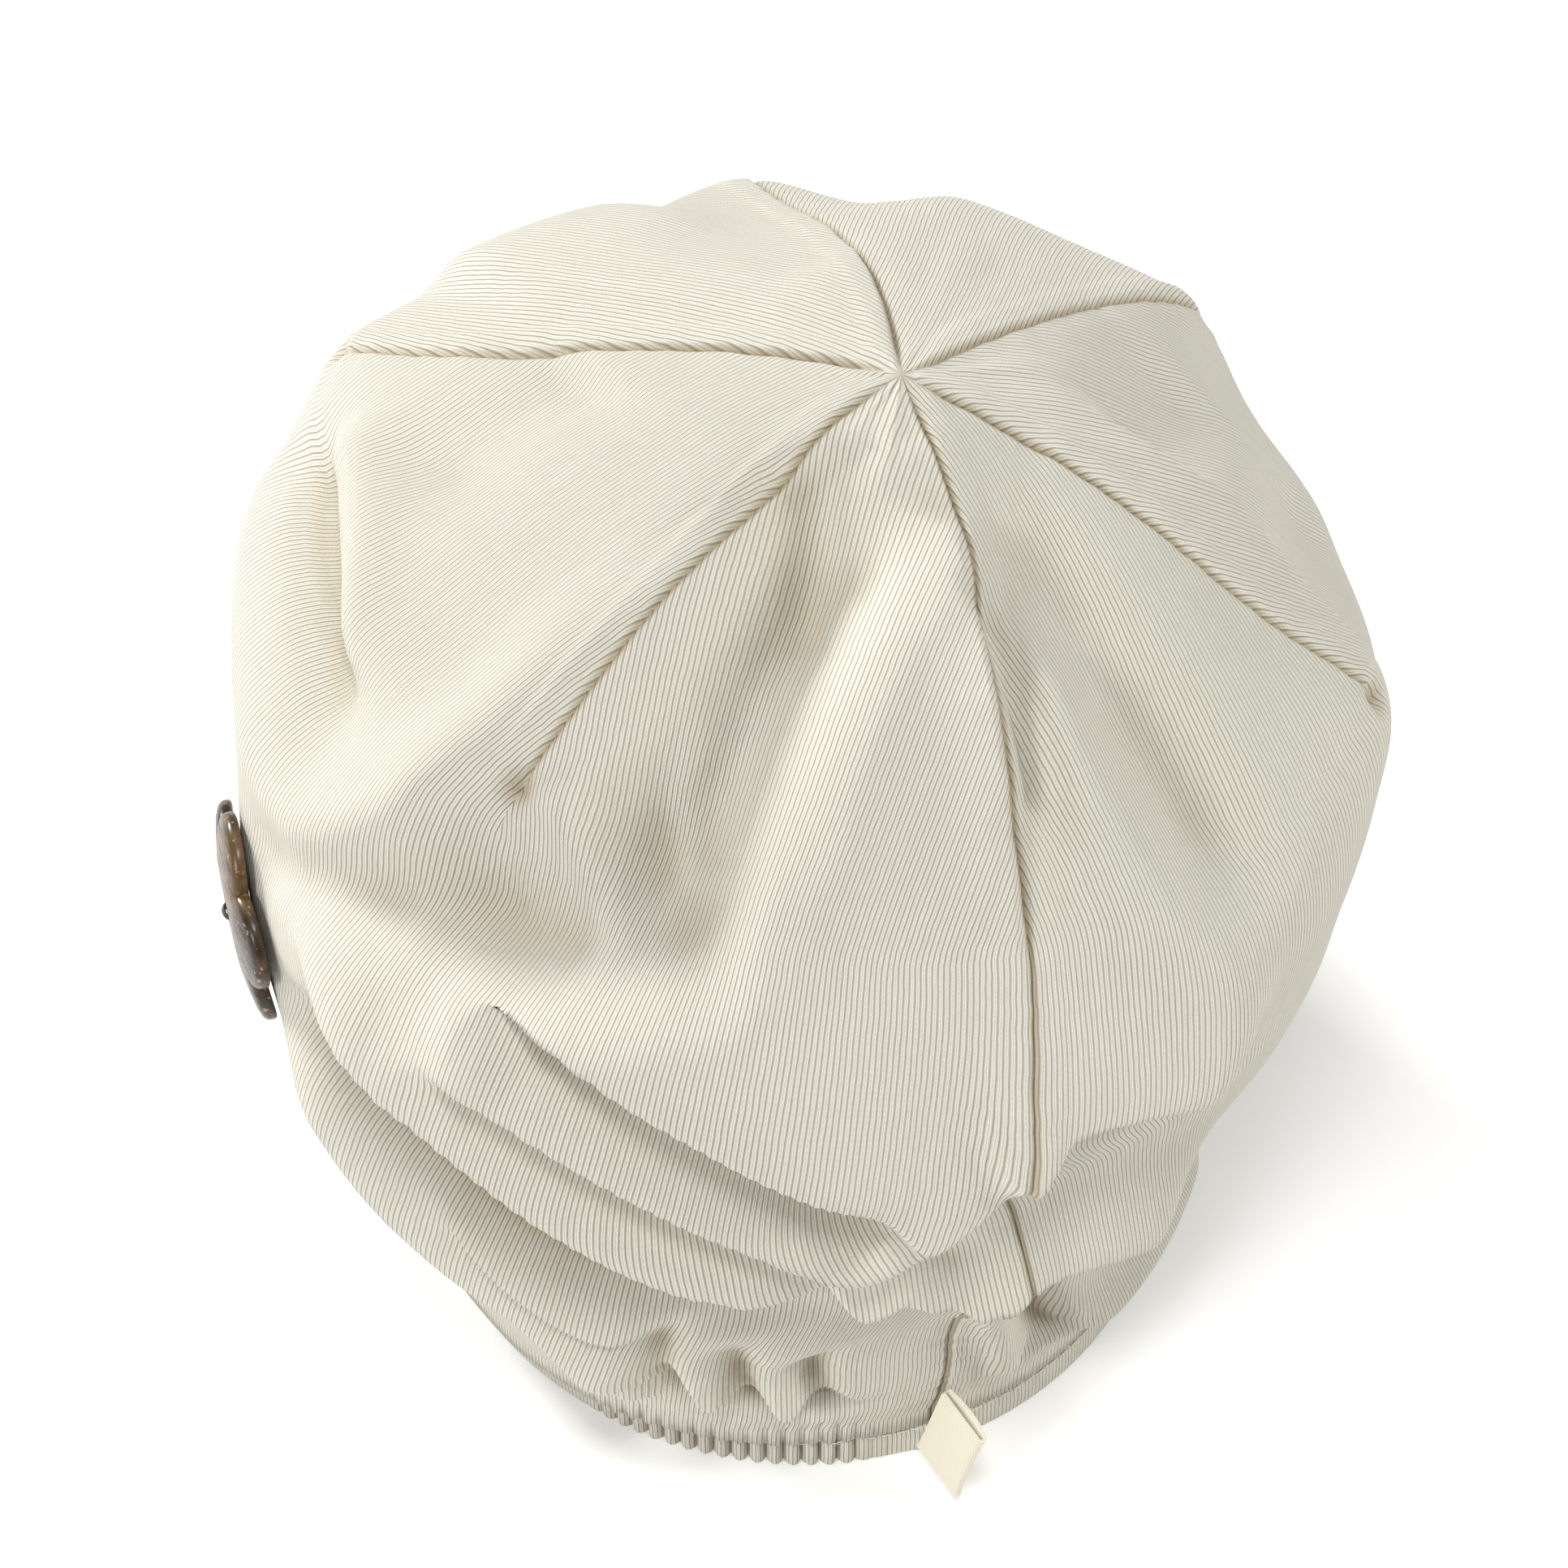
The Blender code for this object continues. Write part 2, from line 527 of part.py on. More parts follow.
def add_label(surface):
    """The ribbon loop, whose open ends follow the back seam a gap away from the cloth."""
    seam = table_rows(SEAM_COLUMNS, SEAMS)[0]
    heights = LABEL_FOOT + LABEL_HEIGHT * np.linspace(0, 1, 5)
    out = math.radians(seam_bearing(seam, np.zeros(1))[0] - LABEL_TURN)
    away = Vector((math.sin(out), math.cos(out), 0))
    side = Vector((math.cos(out), -math.sin(out), 0))
    bm = bmesh.new()
    rows = []
    for root in label_roots(surface, seam, heights, away, side):
        row = []
        for distance, aside in label_outline():
            droop = Vector((0, 0, LABEL_DROOP * (distance / LABEL_REACH)**2))
            row.append(bm.verts.new(root + away * distance + side * aside - droop))
        rows.append(row)
    grid_faces(bm, rows, closed_rows=False)
    bm.faces.new(rows[0])
    bm.faces.new(rows[-1])
    return add_piece("ribbon_label", bm, "ribbon")


def flower_seat(surface):
    """The flower's place: its centre on the cloth, its outward axis and two directions across it."""
    bearing = np.array([float(FLOWER_BEARING)])
    up = np.array([FLOWER_UP])
    axis = Vector(form_normal(bearing, up)[0])
    across = axis.cross(Vector((0, 0, 1))).normalized()
    upward = across.cross(axis).normalized()
    offsets = []
    for share in np.linspace(0, 1, 9):
        for angle in np.radians(np.arange(0, 360, 15)):
            aside = (across * math.cos(angle) + upward * math.sin(angle)) * FLOWER_RADIUS * share
            offsets.append(aside - axis * flower_bend(share))
    return seated(surface, Vector(form(bearing, up)[0]), axis, offsets), axis, across, upward


def flower_bend(share):
    """How far the flower bends back towards the cloth, at a share of its radius."""
    return FLOWER_BEND * max(0, share**2 - FLOWER_FLAT)


def petal_reach(angle):
    """The flower's outline: round petals with a notch between each two."""
    lobe = abs(math.cos(FLOWER_PETALS * (angle - math.radians(FLOWER_ROLL)) / 2))
    return FLOWER_RADIUS * (1 - PETAL_NOTCH * (1 - lobe**0.8))


def add_flower(seat):
    """The flower button: a bent back, a rounded rim and a low domed face, with two sewing holes."""
    centre, axis, across, upward = seat
    bm = bmesh.new()
    rows = []
    for share, level in FLOWER_SECTION:
        row = []
        for j in range(FLOWER_COLUMNS):
            angle = math.tau * j / FLOWER_COLUMNS
            r = share * petal_reach(angle)
            dome = FLOWER_DOME * (1 - share) if level == 1.0 else 0.0
            place = across * (r * math.cos(angle)) + upward * (r * math.sin(angle))
            rise = FLOWER_WALL * level + dome - flower_bend(r / FLOWER_RADIUS)
            row.append(bm.verts.new(centre + place + axis * rise))
        rows.append(row)
    grid_faces(bm, rows, closed_rows=False)
    back = bm.verts.new(centre)
    face = bm.verts.new(centre + axis * (FLOWER_WALL + FLOWER_DOME))
    for j in range(FLOWER_COLUMNS):
        k = (j + 1) % FLOWER_COLUMNS
        bm.faces.new((rows[0][j], rows[0][k], back))
        bm.faces.new((rows[-1][j], rows[-1][k], face))
    flower = add_piece("flower_button", bm, "coconut_shell", smooth_angle=35)
    for side in (-1, 1):
        cut = flower.modifiers.new("sewing_hole", "BOOLEAN")
        cut.object = add_hole_cutter(centre + across * (side * HOLE_SPREAD / 2), axis, side)
        cut.operation = "DIFFERENCE"
        cut.solver = "EXACT"
    return flower


def add_hole_cutter(place, axis, side):
    bpy.ops.mesh.primitive_cylinder_add(vertices=10, radius=HOLE_RADIUS, depth=FLOWER_WALL * 4)
    cutter = bpy.context.object
    cutter.name = "hole_cutter_left" if side < 0 else "hole_cutter_right"
    cutter.location = place + axis * (FLOWER_WALL / 2)
    cutter.rotation_euler = axis.to_track_quat("Z", "Y").to_euler()
    cutter.parent = bpy.data.objects["hat_origin"]
    cutter.hide_render = True
    cutter.display_type = "WIRE"
    for collection in list(cutter.users_collection):
        collection.objects.unlink(cutter)
    bpy.data.collections["cutters"].objects.link(cutter)
    return cutter


def add_thread(seat):
    """The sewing thread: through one hole, over the flower's face and back through the other."""
    centre, axis, across = seat[:3]
    half = HOLE_SPREAD / 2
    shoulder = FLOWER_WALL + FLOWER_DOME + THREAD_RADIUS + GAP - THREAD_RISE
    foot = THREAD_RADIUS / 2
    middle = (foot + shoulder) / 2
    angles = np.radians(np.linspace(180, 0, 9))
    points = [(-half, foot), (-half, middle)]
    points += [(half * math.cos(a), shoulder + THREAD_RISE * math.sin(a)) for a in angles]
    points += [(half, middle), (half, foot)]
    curve = bpy.data.curves.new("button_thread", "CURVE")
    curve.dimensions = "3D"
    curve.bevel_depth = THREAD_RADIUS
    curve.bevel_resolution = 1
    curve.use_fill_caps = True
    line = curve.splines.new("POLY")
    line.points.add(len(points) - 1)
    for point, (aside, height) in zip(line.points, points):
        point.co = (*(centre + across * aside + axis * height), 1)
    curve.materials.append(finish("thread"))
    thread = bpy.data.objects.new("button_thread", curve)
    bpy.data.collections[COLLECTION].objects.link(thread)
    thread.parent = bpy.data.objects["hat_origin"]
    return thread


def start_empty_file():
    """Clears the scene and makes the hat's collection, the cutters' collection and the origin."""
    for old in list(bpy.data.objects):
        bpy.data.objects.remove(old, do_unlink=True)
    for name in (COLLECTION, "cutters"):
        collection = bpy.data.collections.new(name)
        bpy.context.scene.collection.children.link(collection)
    origin = bpy.data.objects.new("hat_origin", None)
    bpy.data.collections[COLLECTION].objects.link(origin)


def stand_on_origin(pieces):
    """Moves the hat so that the middle of its box's underside is the origin."""
    bpy.context.view_layer.update()
    depsgraph = bpy.context.evaluated_depsgraph_get()
    corners = []
    for piece in pieces:
        shown = piece.evaluated_get(depsgraph)
        mesh = shown.to_mesh()
        points = np.array([shown.matrix_world @ v.co for v in mesh.vertices])
        shown.to_mesh_clear()
        corners += [points.min(axis=0), points.max(axis=0)]
    low = np.min(corners, axis=0)
    high = np.max(corners, axis=0)
    middle = (low + high) / 2
    bpy.data.objects["hat_origin"].location = (-middle[0], -middle[1], -low[2])


def main():
    start_empty_file()
    pieces = [add_crown(), add_band()]
    surface = surface_of(pieces)
    seat = flower_seat(surface)
    pieces += [add_label(surface), add_flower(seat), add_thread(seat)]
    stand_on_origin(pieces)


if __name__ == "__main__":
    main()
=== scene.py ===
"""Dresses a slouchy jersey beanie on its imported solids: the knitted crown with its darts and folds, the
gathered hem band, a bare ribbon label, a flower button with its sewing thread, and a plain pale stage."""

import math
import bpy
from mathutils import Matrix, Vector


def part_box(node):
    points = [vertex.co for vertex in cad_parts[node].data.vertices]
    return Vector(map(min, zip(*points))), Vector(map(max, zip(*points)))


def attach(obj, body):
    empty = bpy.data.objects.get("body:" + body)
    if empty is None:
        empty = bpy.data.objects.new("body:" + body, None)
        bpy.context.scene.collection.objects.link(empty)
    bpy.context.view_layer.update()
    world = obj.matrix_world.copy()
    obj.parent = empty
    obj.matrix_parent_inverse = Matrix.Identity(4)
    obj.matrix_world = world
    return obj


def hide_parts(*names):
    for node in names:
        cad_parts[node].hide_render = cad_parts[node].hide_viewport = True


bl_info = {
    "name": "Flower Beanie",
    "version": (1, 0, 0),
    "blender": (4, 5, 0),
    "location": "3D View > Sidebar > Beanie",
    "description": "Makes the knitted crown, gathered hem, ribbon label and flower button of a beanie",
    "category": "Object",
}

import bmesh
import bpy
import numpy as np
from mathutils import Vector
from mathutils.bvhtree import BVHTree

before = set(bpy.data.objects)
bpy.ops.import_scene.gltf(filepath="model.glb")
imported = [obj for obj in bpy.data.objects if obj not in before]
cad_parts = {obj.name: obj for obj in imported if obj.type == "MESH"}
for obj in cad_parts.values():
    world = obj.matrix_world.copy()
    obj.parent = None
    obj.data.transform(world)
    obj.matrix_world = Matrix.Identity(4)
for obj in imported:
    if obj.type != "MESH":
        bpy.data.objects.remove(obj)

# Driving sizes of the hat, in metres
HEM_WIDTH = 0.160
HEM_DEPTH = 0.188
HAT_HEIGHT = 0.184
CLOTH_LENGTH = 0.250
APEX_RIGHT = 0.024
APEX_FRONT = 0.010

# Cloth, hem band and the gap that separate pieces keep
CLOTH_WALL = 0.0012
BAND_HEIGHT = 0.0080
BAND_WALL = 0.0024
GAP = 0.0003

# Folds: the lift and width that the fold table's shares are of
FOLD_LIFT = 0.010
FOLD_WIDTH = 0.010

# The sharpest edge that a fold takes here, how much softer it is where it dies out, and the share of its
# path that each of its ends fades over. The share of its width at its ends, and what its middle adds
FOLD_EDGE = 0.0018
FOLD_SOFT = 0.0080
FOLD_FADE = 0.26
FOLD_END = 0.55
FOLD_MIDDLE = 0.45

# The least reach from the apex's own centre that folds and seams are measured at
LEAST_REACH = 0.004

# Seams: a stitched groove, the welt of folded cloth beside it, and the dart's raised and pinched tip
SEAM_GROOVE = 0.0008
SEAM_GROOVE_WIDTH = 0.0006
WELT_LIFT = 0.0006
WELT_WIDTH = 0.0055
TIP_CORNER = 0.006
TIP_CORNER_WIDTH = 0.016
TIP_PIT = 0.0030
TIP_PIT_WIDTH = 0.0026

# Elastic pleats of the hem: their lift, then the stretch that they fill, how softly it ends and their
# pitch, in degrees round the hat. How round their tops are and how far the whole row is sunk. How much
# deeper they are on the band, and the depth of full shade
PLEAT_LIFT = 0.0009
PLEATS_FROM = 8
PLEATS_TO = 46
PLEATS_SOFT = 6
PLEAT_PITCH = 2.1
PLEAT_ROUND = 0.7
PLEAT_SUNK = 1.4
PLEAT_DEEPER = 0.6
PLEAT_SHADE_DEPTH = 0.0006

# Ribbon label, folded in half and sewn into the back seam
LABEL_HEIGHT = 0.0160
LABEL_REACH = 0.0130
LABEL_FOOT = 0.0038
LABEL_DROOP = 0.0012
LABEL_TURN = 19
LABEL_ROWS = 25
RIBBON_WALL = 0.0007
RIBBON_OPEN = 0.0006

# Flower button and the thread through its two holes. The thread's strands are a share of its radius, and
# so is how far each of its turns lies beside the middle one and rises above the lowest
FLOWER_BEARING = 94
FLOWER_UP = 0.39
FLOWER_RADIUS = 0.0220
FLOWER_WALL = 0.0030
FLOWER_DOME = 0.0008
FLOWER_BEND = 0.0022
FLOWER_FLAT = 0.2
FLOWER_PETALS = 5
FLOWER_ROLL = 14
PETAL_NOTCH = 0.26
HOLE_RADIUS = 0.0013
HOLE_SPREAD = 0.0032
THREAD_RADIUS = 0.0007
THREAD_RISE = 0.0006
THREAD_STRAND = 0.42
THREAD_TURNS = ((-0.62, 0.0), (0.0, 0.35), (0.62, 0.05))

# How far outside the cloth the search for a piece's seat starts
SEAT_SEARCH = 0.03

# Where the cloth turns in above the hem band, and how far beside a seam its puckers reach
HEM_TUCK = 0.0010
HEM_TUCK_REACH = 0.0012
PUCKER_REACH = 0.006

# The limp cloth's small waves: shares of their lift, counts round the hat and up it, and the noise's seed
WAVES = ((1.0, 16, 8, 3), (0.35, 46, 20, 5))

# Heights, as shares of the cloth's length: where folds, fine relief and the inside's extra depth set in
# above the hem and its pleats die out, and where the seams, their puckers and that depth start to fade
FOLDS_IN = (0.03, 0.09)
RELIEF_IN = (0.02, 0.08)
INSIDE_IN = (0.03, 0.12)
PLEATS_OUT = (0.04, 0.10)
SEAM_FADE = 0.97
PUCKER_FADE = 0.93
INSIDE_FADE = 0.9

# Hollows of the cloth: the steps of the blur that finds them, the depths where their shade starts and is
# full, the share that is taken off it on the crown's top and the heights where that sets in. Then the
# even shade of the inside, and that of the apex and of the pleats
HOLLOW_STEPS = 24
HOLLOW_EDGE = 0.0003
HOLLOW_DEEP = 0.0040
HOLLOW_CALM = 0.5
HOLLOW_LOW = 0.53
HOLLOW_HIGH = 0.57
INSIDE_SHADE = 0.35
APEX_SHADE = 0.5
PLEAT_SHADE = 0.5

# The crown's first row, as a share of the height of its foot
FIRST_ROW = 1.2

# How finely the cloth is divided: times the tables' own columns and rows, the inside's coarser steps and
# its extra depth as a share of the wall, and how much the columns crowd towards the seams
COLUMNS_FINER = 7
ROWS_FINER = 5
INSIDE_COLUMNS = 2
INSIDE_ROWS = 3
INSIDE_DEEPER = 0.6
COLUMN_CROWD = 0.6
ROW_ZONE_COLUMNS = ("to_up", "rows")
ROW_ZONES = ((0.20, 9), (0.64, 18), (1.00, 9))
BAND_PLEAT_COLUMNS = 58
BAND_PLAIN_COLUMNS = 48
BAND_FINER = 6
FOLD_STEPS = 33

# Where the darts' tips lie, and how far below them the knit's courses run level again. How finely the
# cloth is measured for its flat pattern: rows, degrees round and points across a panel
TIPS_UP = 0.66
LEVEL_LENGTH = 0.090
PATTERN_ROWS = 201
PATTERN_TURN = 15.0
PATTERN_ACROSS = 41

# The turn of the knit's grain in each panel, in degrees from the panel's middle line
GRAIN_COLUMNS = ("panel", "turn")
GRAIN = (
    ("back to left rear", -3),
    ("left rear to left front", 18),
    ("left front to front", 12),
    ("front to right front", 0),
    ("right front to right rear", 0),
    ("right rear to back", -6),
)

# Knit: how far a stitch's legs slant, in courses, the cords' share in its height, and where the painted
# shade in the gaps between wales and between stitches sets in, is full, and how dark it is. How far the
# yarn's streaks are drawn out, and the colour's shares of streaks, mottling and painted shade of hollows
LEG_SLANT = 0.85
CORD_SHARE = 0.5
WALE_GAP = (0.30, 1.0)
WALE_GAP_SHADE = 0.85
STITCH_GAP = (0.10, 0.70)
STITCH_GAP_SHADE = 0.60
STREAK_SCALE = (900.0, 22.0, 1.0)
STREAK_SHARE = 0.35
MOTTLE_SHARE = 0.25
HOLLOW_SHARE = 0.85

# The dressed label's bow and how far its two layers part, and the hem stitches' place on the band
LABEL_BOW = 0.0007
LABEL_SPREAD = 0.6
STITCH_INSET = 0.02
STITCH_UP = 0.93

# The flower's rim in full, from its back to its face: shares of the petals' reach and of its wall
FLOWER_SECTION = ((0.30, 0.0), (0.93, 0.0), (0.965, 0.03), (0.99, 0.12), (1.0, 0.28), (1.0, 0.55),
                  (0.993, 0.72), (0.975, 0.86), (0.95, 0.95), (0.915, 0.99), (0.88, 1.0), (0.7, 1.0),
                  (0.5, 1.0), (0.30, 1.0))
FLOWER_COLUMNS = 240

# The drill of a sewing hole, from behind the flower to before it: shares of the hole's radius and of the
# flower's height
HOLE_SECTION = ((1.0, -0.5), (1.0, 0.88), (1.12, 0.97), (1.35, 1.05), (1.35, 1.5))
HOLE_COLUMNS = 32

# The angle above which an edge shows, in degrees
TRIM_EDGE = 42
FLOWER_EDGE = 32

# The hem band's section, from its top inside round its outside and foot: insets as shares of its
# wall, and heights as shares of its own.
BAND_SECTION = ((0.45, 1.00), (0.20, 0.97), (0.05, 0.88), (0.00, 0.72), (0.00, 0.50), (0.00, 0.28),
                (0.05, 0.10), (0.20, 0.015), (0.35, 0.0), (0.75, 0.0), (0.95, 0.04), (1.00, 0.20),
                (1.00, 0.60), (0.95, 0.90), (0.75, 1.00))

# Stage: where the camera stands and what it aims at, in the hat tables' own frame, how far the floor
# reaches and how much it glows, and the lamps
CAMERA_AZIMUTH = 161.135
CAMERA_ELEVATION = 49.3
CAMERA_DISTANCE = 1.1825
CAMERA_AIM = (0.0012, -0.0020, 0.0885)
CAMERA_LENS = 142.08
SENSOR = 36.0
FLOOR_REACH = 4
FLOOR_GLOW = 0.24
LIGHTS = (
    ("key", (0.90, -1.64, 0.90), 0.5, 35.0),
    ("right", (-1.71, 0.59, 0.90), 0.6, 18.5),
    ("near left", (1.60, 0.78, 1.05), 0.6, 17.0),
    ("overhead", (0.22, 0.65, 1.97), 0.5, 17.0),
    ("far overhead", (0.30, -0.62, 1.97), 0.8, 6.5),
)
LIGHT_COLUMNS = ("name", "place", "size", "power")

# A row for each ring of the cloth, from the hem up: its height as a share of the cloth's length, its lean
# as one of the apex's shift, and its rises at the back, left, front and right as shares of the hat's
# height. The last eight are its reaches at the back, back left, left and so on round to the back right,
# as shares of the hem's own radius there.
RINGS = (
    (0.00, 0.00, 0.00, 0.00, 0.00, 0.00, 1.00, 1.05, 1.00, 1.00, 1.00, 0.98, 0.95, 0.94),
    (0.04, 0.00, 0.05, 0.05, 0.05, 0.05, 1.00, 1.07, 1.02, 1.00, 1.00, 0.99, 0.96, 0.94),
    (0.12, 0.00, 0.13, 0.14, 0.16, 0.13, 1.01, 1.13, 1.12, 1.04, 1.02, 1.03, 1.02, 0.97),
    (0.24, 0.00, 0.26, 0.28, 0.34, 0.28, 1.02, 1.18, 1.25, 1.11, 1.05, 1.08, 1.14, 1.08),
    (0.36, 0.10, 0.40, 0.42, 0.50, 0.43, 1.06, 1.23, 1.34, 1.20, 1.06, 1.12, 1.22, 1.19),
    (0.46, 0.20, 0.52, 0.55, 0.61, 0.56, 1.12, 1.25, 1.37, 1.25, 1.08, 1.13, 1.24, 1.24),
    (0.56, 0.30, 0.66, 0.69, 0.71, 0.68, 1.14, 1.20, 1.33, 1.28, 1.07, 1.12, 1.24, 1.26),
    (0.66, 0.40, 0.78, 0.82, 0.80, 0.76, 1.02, 1.06, 1.18, 1.19, 1.00, 1.03, 1.12, 1.16),
    (0.78, 0.60, 0.88, 0.92, 0.90, 0.87, 0.72, 0.77, 0.86, 0.85, 0.75, 0.78, 0.85, 0.82),
    (0.90, 0.85, 0.95, 0.97, 0.97, 0.95, 0.36, 0.38, 0.42, 0.41, 0.39, 0.40, 0.43, 0.41),
    (1.00, 1.00, 1.00, 1.00, 1.00, 1.00, 0.00, 0.00, 0.00, 0.00, 0.00, 0.00, 0.00, 0.00),
)

# A row for each seam. Bearings are degrees round from the back towards the left, at the apex, halfway
# and at the dart's tip, whose height is tip_up. welt_side is 1 towards greater bearings, corner is a
# share of the raised tip and panel_columns divides the panel that follows the seam.
SEAM_COLUMNS = ("name", "top", "middle", "tip", "tip_up", "welt_side", "corner", "panel_columns")
SEAMS = (
    ("back", -9, -5, -1, 0.62, -1, 0.0, 17),
    ("left_rear", 76, 63, 61, 0.69, 1, 0.3, 12),
    ("left_front", 138, 131, 137, 0.65, 1, 0.6, 8),
    ("front", 200, 192, 188, 0.67, -1, 1.0, 8),
    ("right_front", 248, 246, 248, 0.66, -1, 0.8, 8),
    ("right_rear", 304, 308, 306, 0.65, -1, 0.8, 13),
)

# The back seam's whole path, hem to apex: up and bearing
BACK_SEAM = ((0.00, 5), (0.07, 2), (0.13, 1), (0.22, 0), (0.27, -4), (0.34, -4), (0.42, -1), (0.465, 3),
             (0.52, 1), (0.61, -1), (0.73, -2), (0.86, -5), (0.93, -9), (1.00, -9))

# A row for each fold: where it starts, passes and ends, its lift, negative for a valley, its widths over
# and under the crest and how far it sags. The last four are shares of the fold sizes above.
FOLD_COLUMNS = ("name", "from_bearing", "from_up", "by_bearing", "by_up", "to_bearing", "to_up",
                "lift", "over", "under", "sag")
FOLDS = (
    ("side crease", 128, 0.645, 106, 0.668, 78, 0.615, -0.80, 0.35, 0.55, 0.00),
    ("side crease edge", 126, 0.690, 106, 0.710, 86, 0.660, 0.35, 0.60, 0.40, 0.00),
    ("side bulge", 136, 0.560, 108, 0.590, 84, 0.540, 0.40, 0.90, 1.20, 0.00),
    ("left facet dent", 128, 0.850, 117, 0.800, 105, 0.720, -0.45, 1.20, 1.20, 0.00),
    ("rear left ridge", 100, 0.500, 72, 0.640, 70, 0.900, 0.50, 0.90, 1.00, 0.00),
    ("bowl", 36, 0.960, 39, 0.800, 44, 0.640, -1.40, 1.20, 1.30, 0.00),
    ("bowl top", 66, 0.950, 46, 0.905, 34, 0.820, -0.50, 0.50, 0.90, 0.00),
    ("back ridge", 14, 0.900, 18, 0.780, 20, 0.640, 0.35, 0.90, 1.10, 0.00),
    ("bowl floor", 66, 0.575, 47, 0.640, 26, 0.660, -0.95, 1.90, 0.70, 0.00),
    ("bowl left pleat", 60, 0.720, 50, 0.670, 40, 0.635, 0.34, 0.42, 0.34, 0.00),
    ("bowl right pleat", 44, 0.810, 42, 0.730, 34, 0.665, 0.28, 0.42, 0.36, 0.00),
    ("flower valley", 96, 0.470, 70, 0.568, 34, 0.650, -0.60, 0.85, 0.70, 0.00),
    ("shelf", 90, 0.485, 52, 0.565, 0, 0.640, 0.60, 1.20, 1.60, 0.00),
    ("rear lip", 60, 0.572, 36, 0.578, 0, 0.442, 1.10, 1.60, 0.22, 0.75),
    ("rear lip tuck", 52, 0.556, 34, 0.548, 8, 0.440, -0.60, 0.30, 0.35, 0.00),
    ("rear lip rise", 13, 0.452, 5, 0.492, -4, 0.545, 0.80, 0.90, 0.22, 0.50),
    ("seam overhang", -2, 0.940, -1, 0.790, 2, 0.570, 0.45, 0.14, 1.20, 0.00),
    ("seam gap", -7, 0.890, -6, 0.810, -5, 0.700, -0.60, 0.50, 0.14, 0.00),
    ("right hollow", -22, 0.960, -24, 0.800, -28, 0.600, -0.70, 0.90, 0.90, 0.00),
    ("right ridge", -12, 0.860, -13, 0.690, -29, 0.520, 0.50, 0.90, 1.00, 0.00),
    ("right lip", 5, 0.515, -9, 0.540, -27, 0.485, 0.75, 1.50, 0.25, 0.60),
    ("right lip tuck", 3, 0.490, -9, 0.510, -27, 0.455, -0.70, 0.25, 0.40, 0.00),
    ("right dent", -74, 0.860, -86, 0.830, -98, 0.760, -0.40, 1.30, 1.30, 0.00),
    ("right side dent", -62, 0.690, -74, 0.670, -90, 0.650, -0.40, 1.60, 1.60, 0.00),
    ("second roll", 64, 0.526, 36, 0.498, -2, 0.345, 0.95, 0.70, 0.22, 0.50),
    ("third roll", 80, 0.530, 46, 0.460, 8, 0.348, 1.15, 0.80, 0.22, 0.65),
    ("third roll pocket", 32, 0.392, 19, 0.346, 7, 0.316, -0.95, 0.22, 0.45, 0.00),
    ("third roll rise", 18, 0.350, 8, 0.340, -6, 0.322, 0.80, 0.60, 0.22, 0.55),
    ("deep valley", 80, 0.440, 58, 0.345, 6, 0.290, -0.80, 0.50, 0.45, 0.00),
    ("low roll", 83, 0.400, 58, 0.262, 2, 0.200, 0.65, 0.90, 0.70, 0.20),
    ("low lip", 60, 0.340, 46, 0.285, 30, 0.255, 0.45, 0.45, 0.25, 0.40),
    ("right low lip", 5, 0.345, -10, 0.336, -30, 0.262, 0.95, 1.00, 0.22, 0.60),
    ("right pocket", -9, 0.240, -12, 0.150, -15, 0.080, -0.55, 0.40, 0.55, 0.00),
    ("right pouch", -3, 0.260, -5, 0.170, -7, 0.080, 0.45, 0.40, 0.40, 0.20),
    ("right hem pouch", -10, 0.115, -34, 0.085, -60, 0.100, 0.55, 0.60, 0.35, 0.30),
    ("hem pouch", 50, 0.220, 30, 0.170, 8, 0.120, 0.35, 0.70, 0.40, 0.25),
    ("gather bulge one", 40, 0.245, 38, 0.170, 36, 0.085, 0.35, 0.45, 0.45, 0.00),
    ("gather one", 34, 0.285, 32, 0.185, 30, 0.082, -0.70, 0.45, 0.48, 0.00),
    ("gather bulge two", 30, 0.225, 28, 0.160, 26, 0.085, 0.30, 0.30, 0.30, 0.00),
    ("gather two", 26, 0.262, 24, 0.170, 22, 0.082, -0.70, 0.45, 0.48, 0.00),
    ("gather bulge three", 21, 0.200, 20, 0.140, 18, 0.085, 0.30, 0.30, 0.30, 0.00),
    ("gather three", 17, 0.235, 16, 0.150, 14, 0.082, -0.60, 0.45, 0.48, 0.00),
    ("right side roll", -50, 0.480, -80, 0.440, -112, 0.470, 0.20, 1.20, 0.80, 0.20),
    ("right side valley", -45, 0.330, -80, 0.300, -120, 0.340, -0.25, 1.00, 1.00, 0.00),
    ("front roll", 215, 0.500, 180, 0.460, 145, 0.490, 0.25, 1.30, 0.90, 0.15),
    ("front left bulge", 146, 0.690, 160, 0.710, 178, 0.690, 0.48, 2.00, 2.20, 0.00),
    ("front right bulge", 202, 0.690, 228, 0.710, 260, 0.690, 0.60, 2.00, 2.20, 0.00),
    ("front dent", 186, 0.900, 178, 0.840, 172, 0.760, -0.20, 1.20, 1.20, 0.00),
)


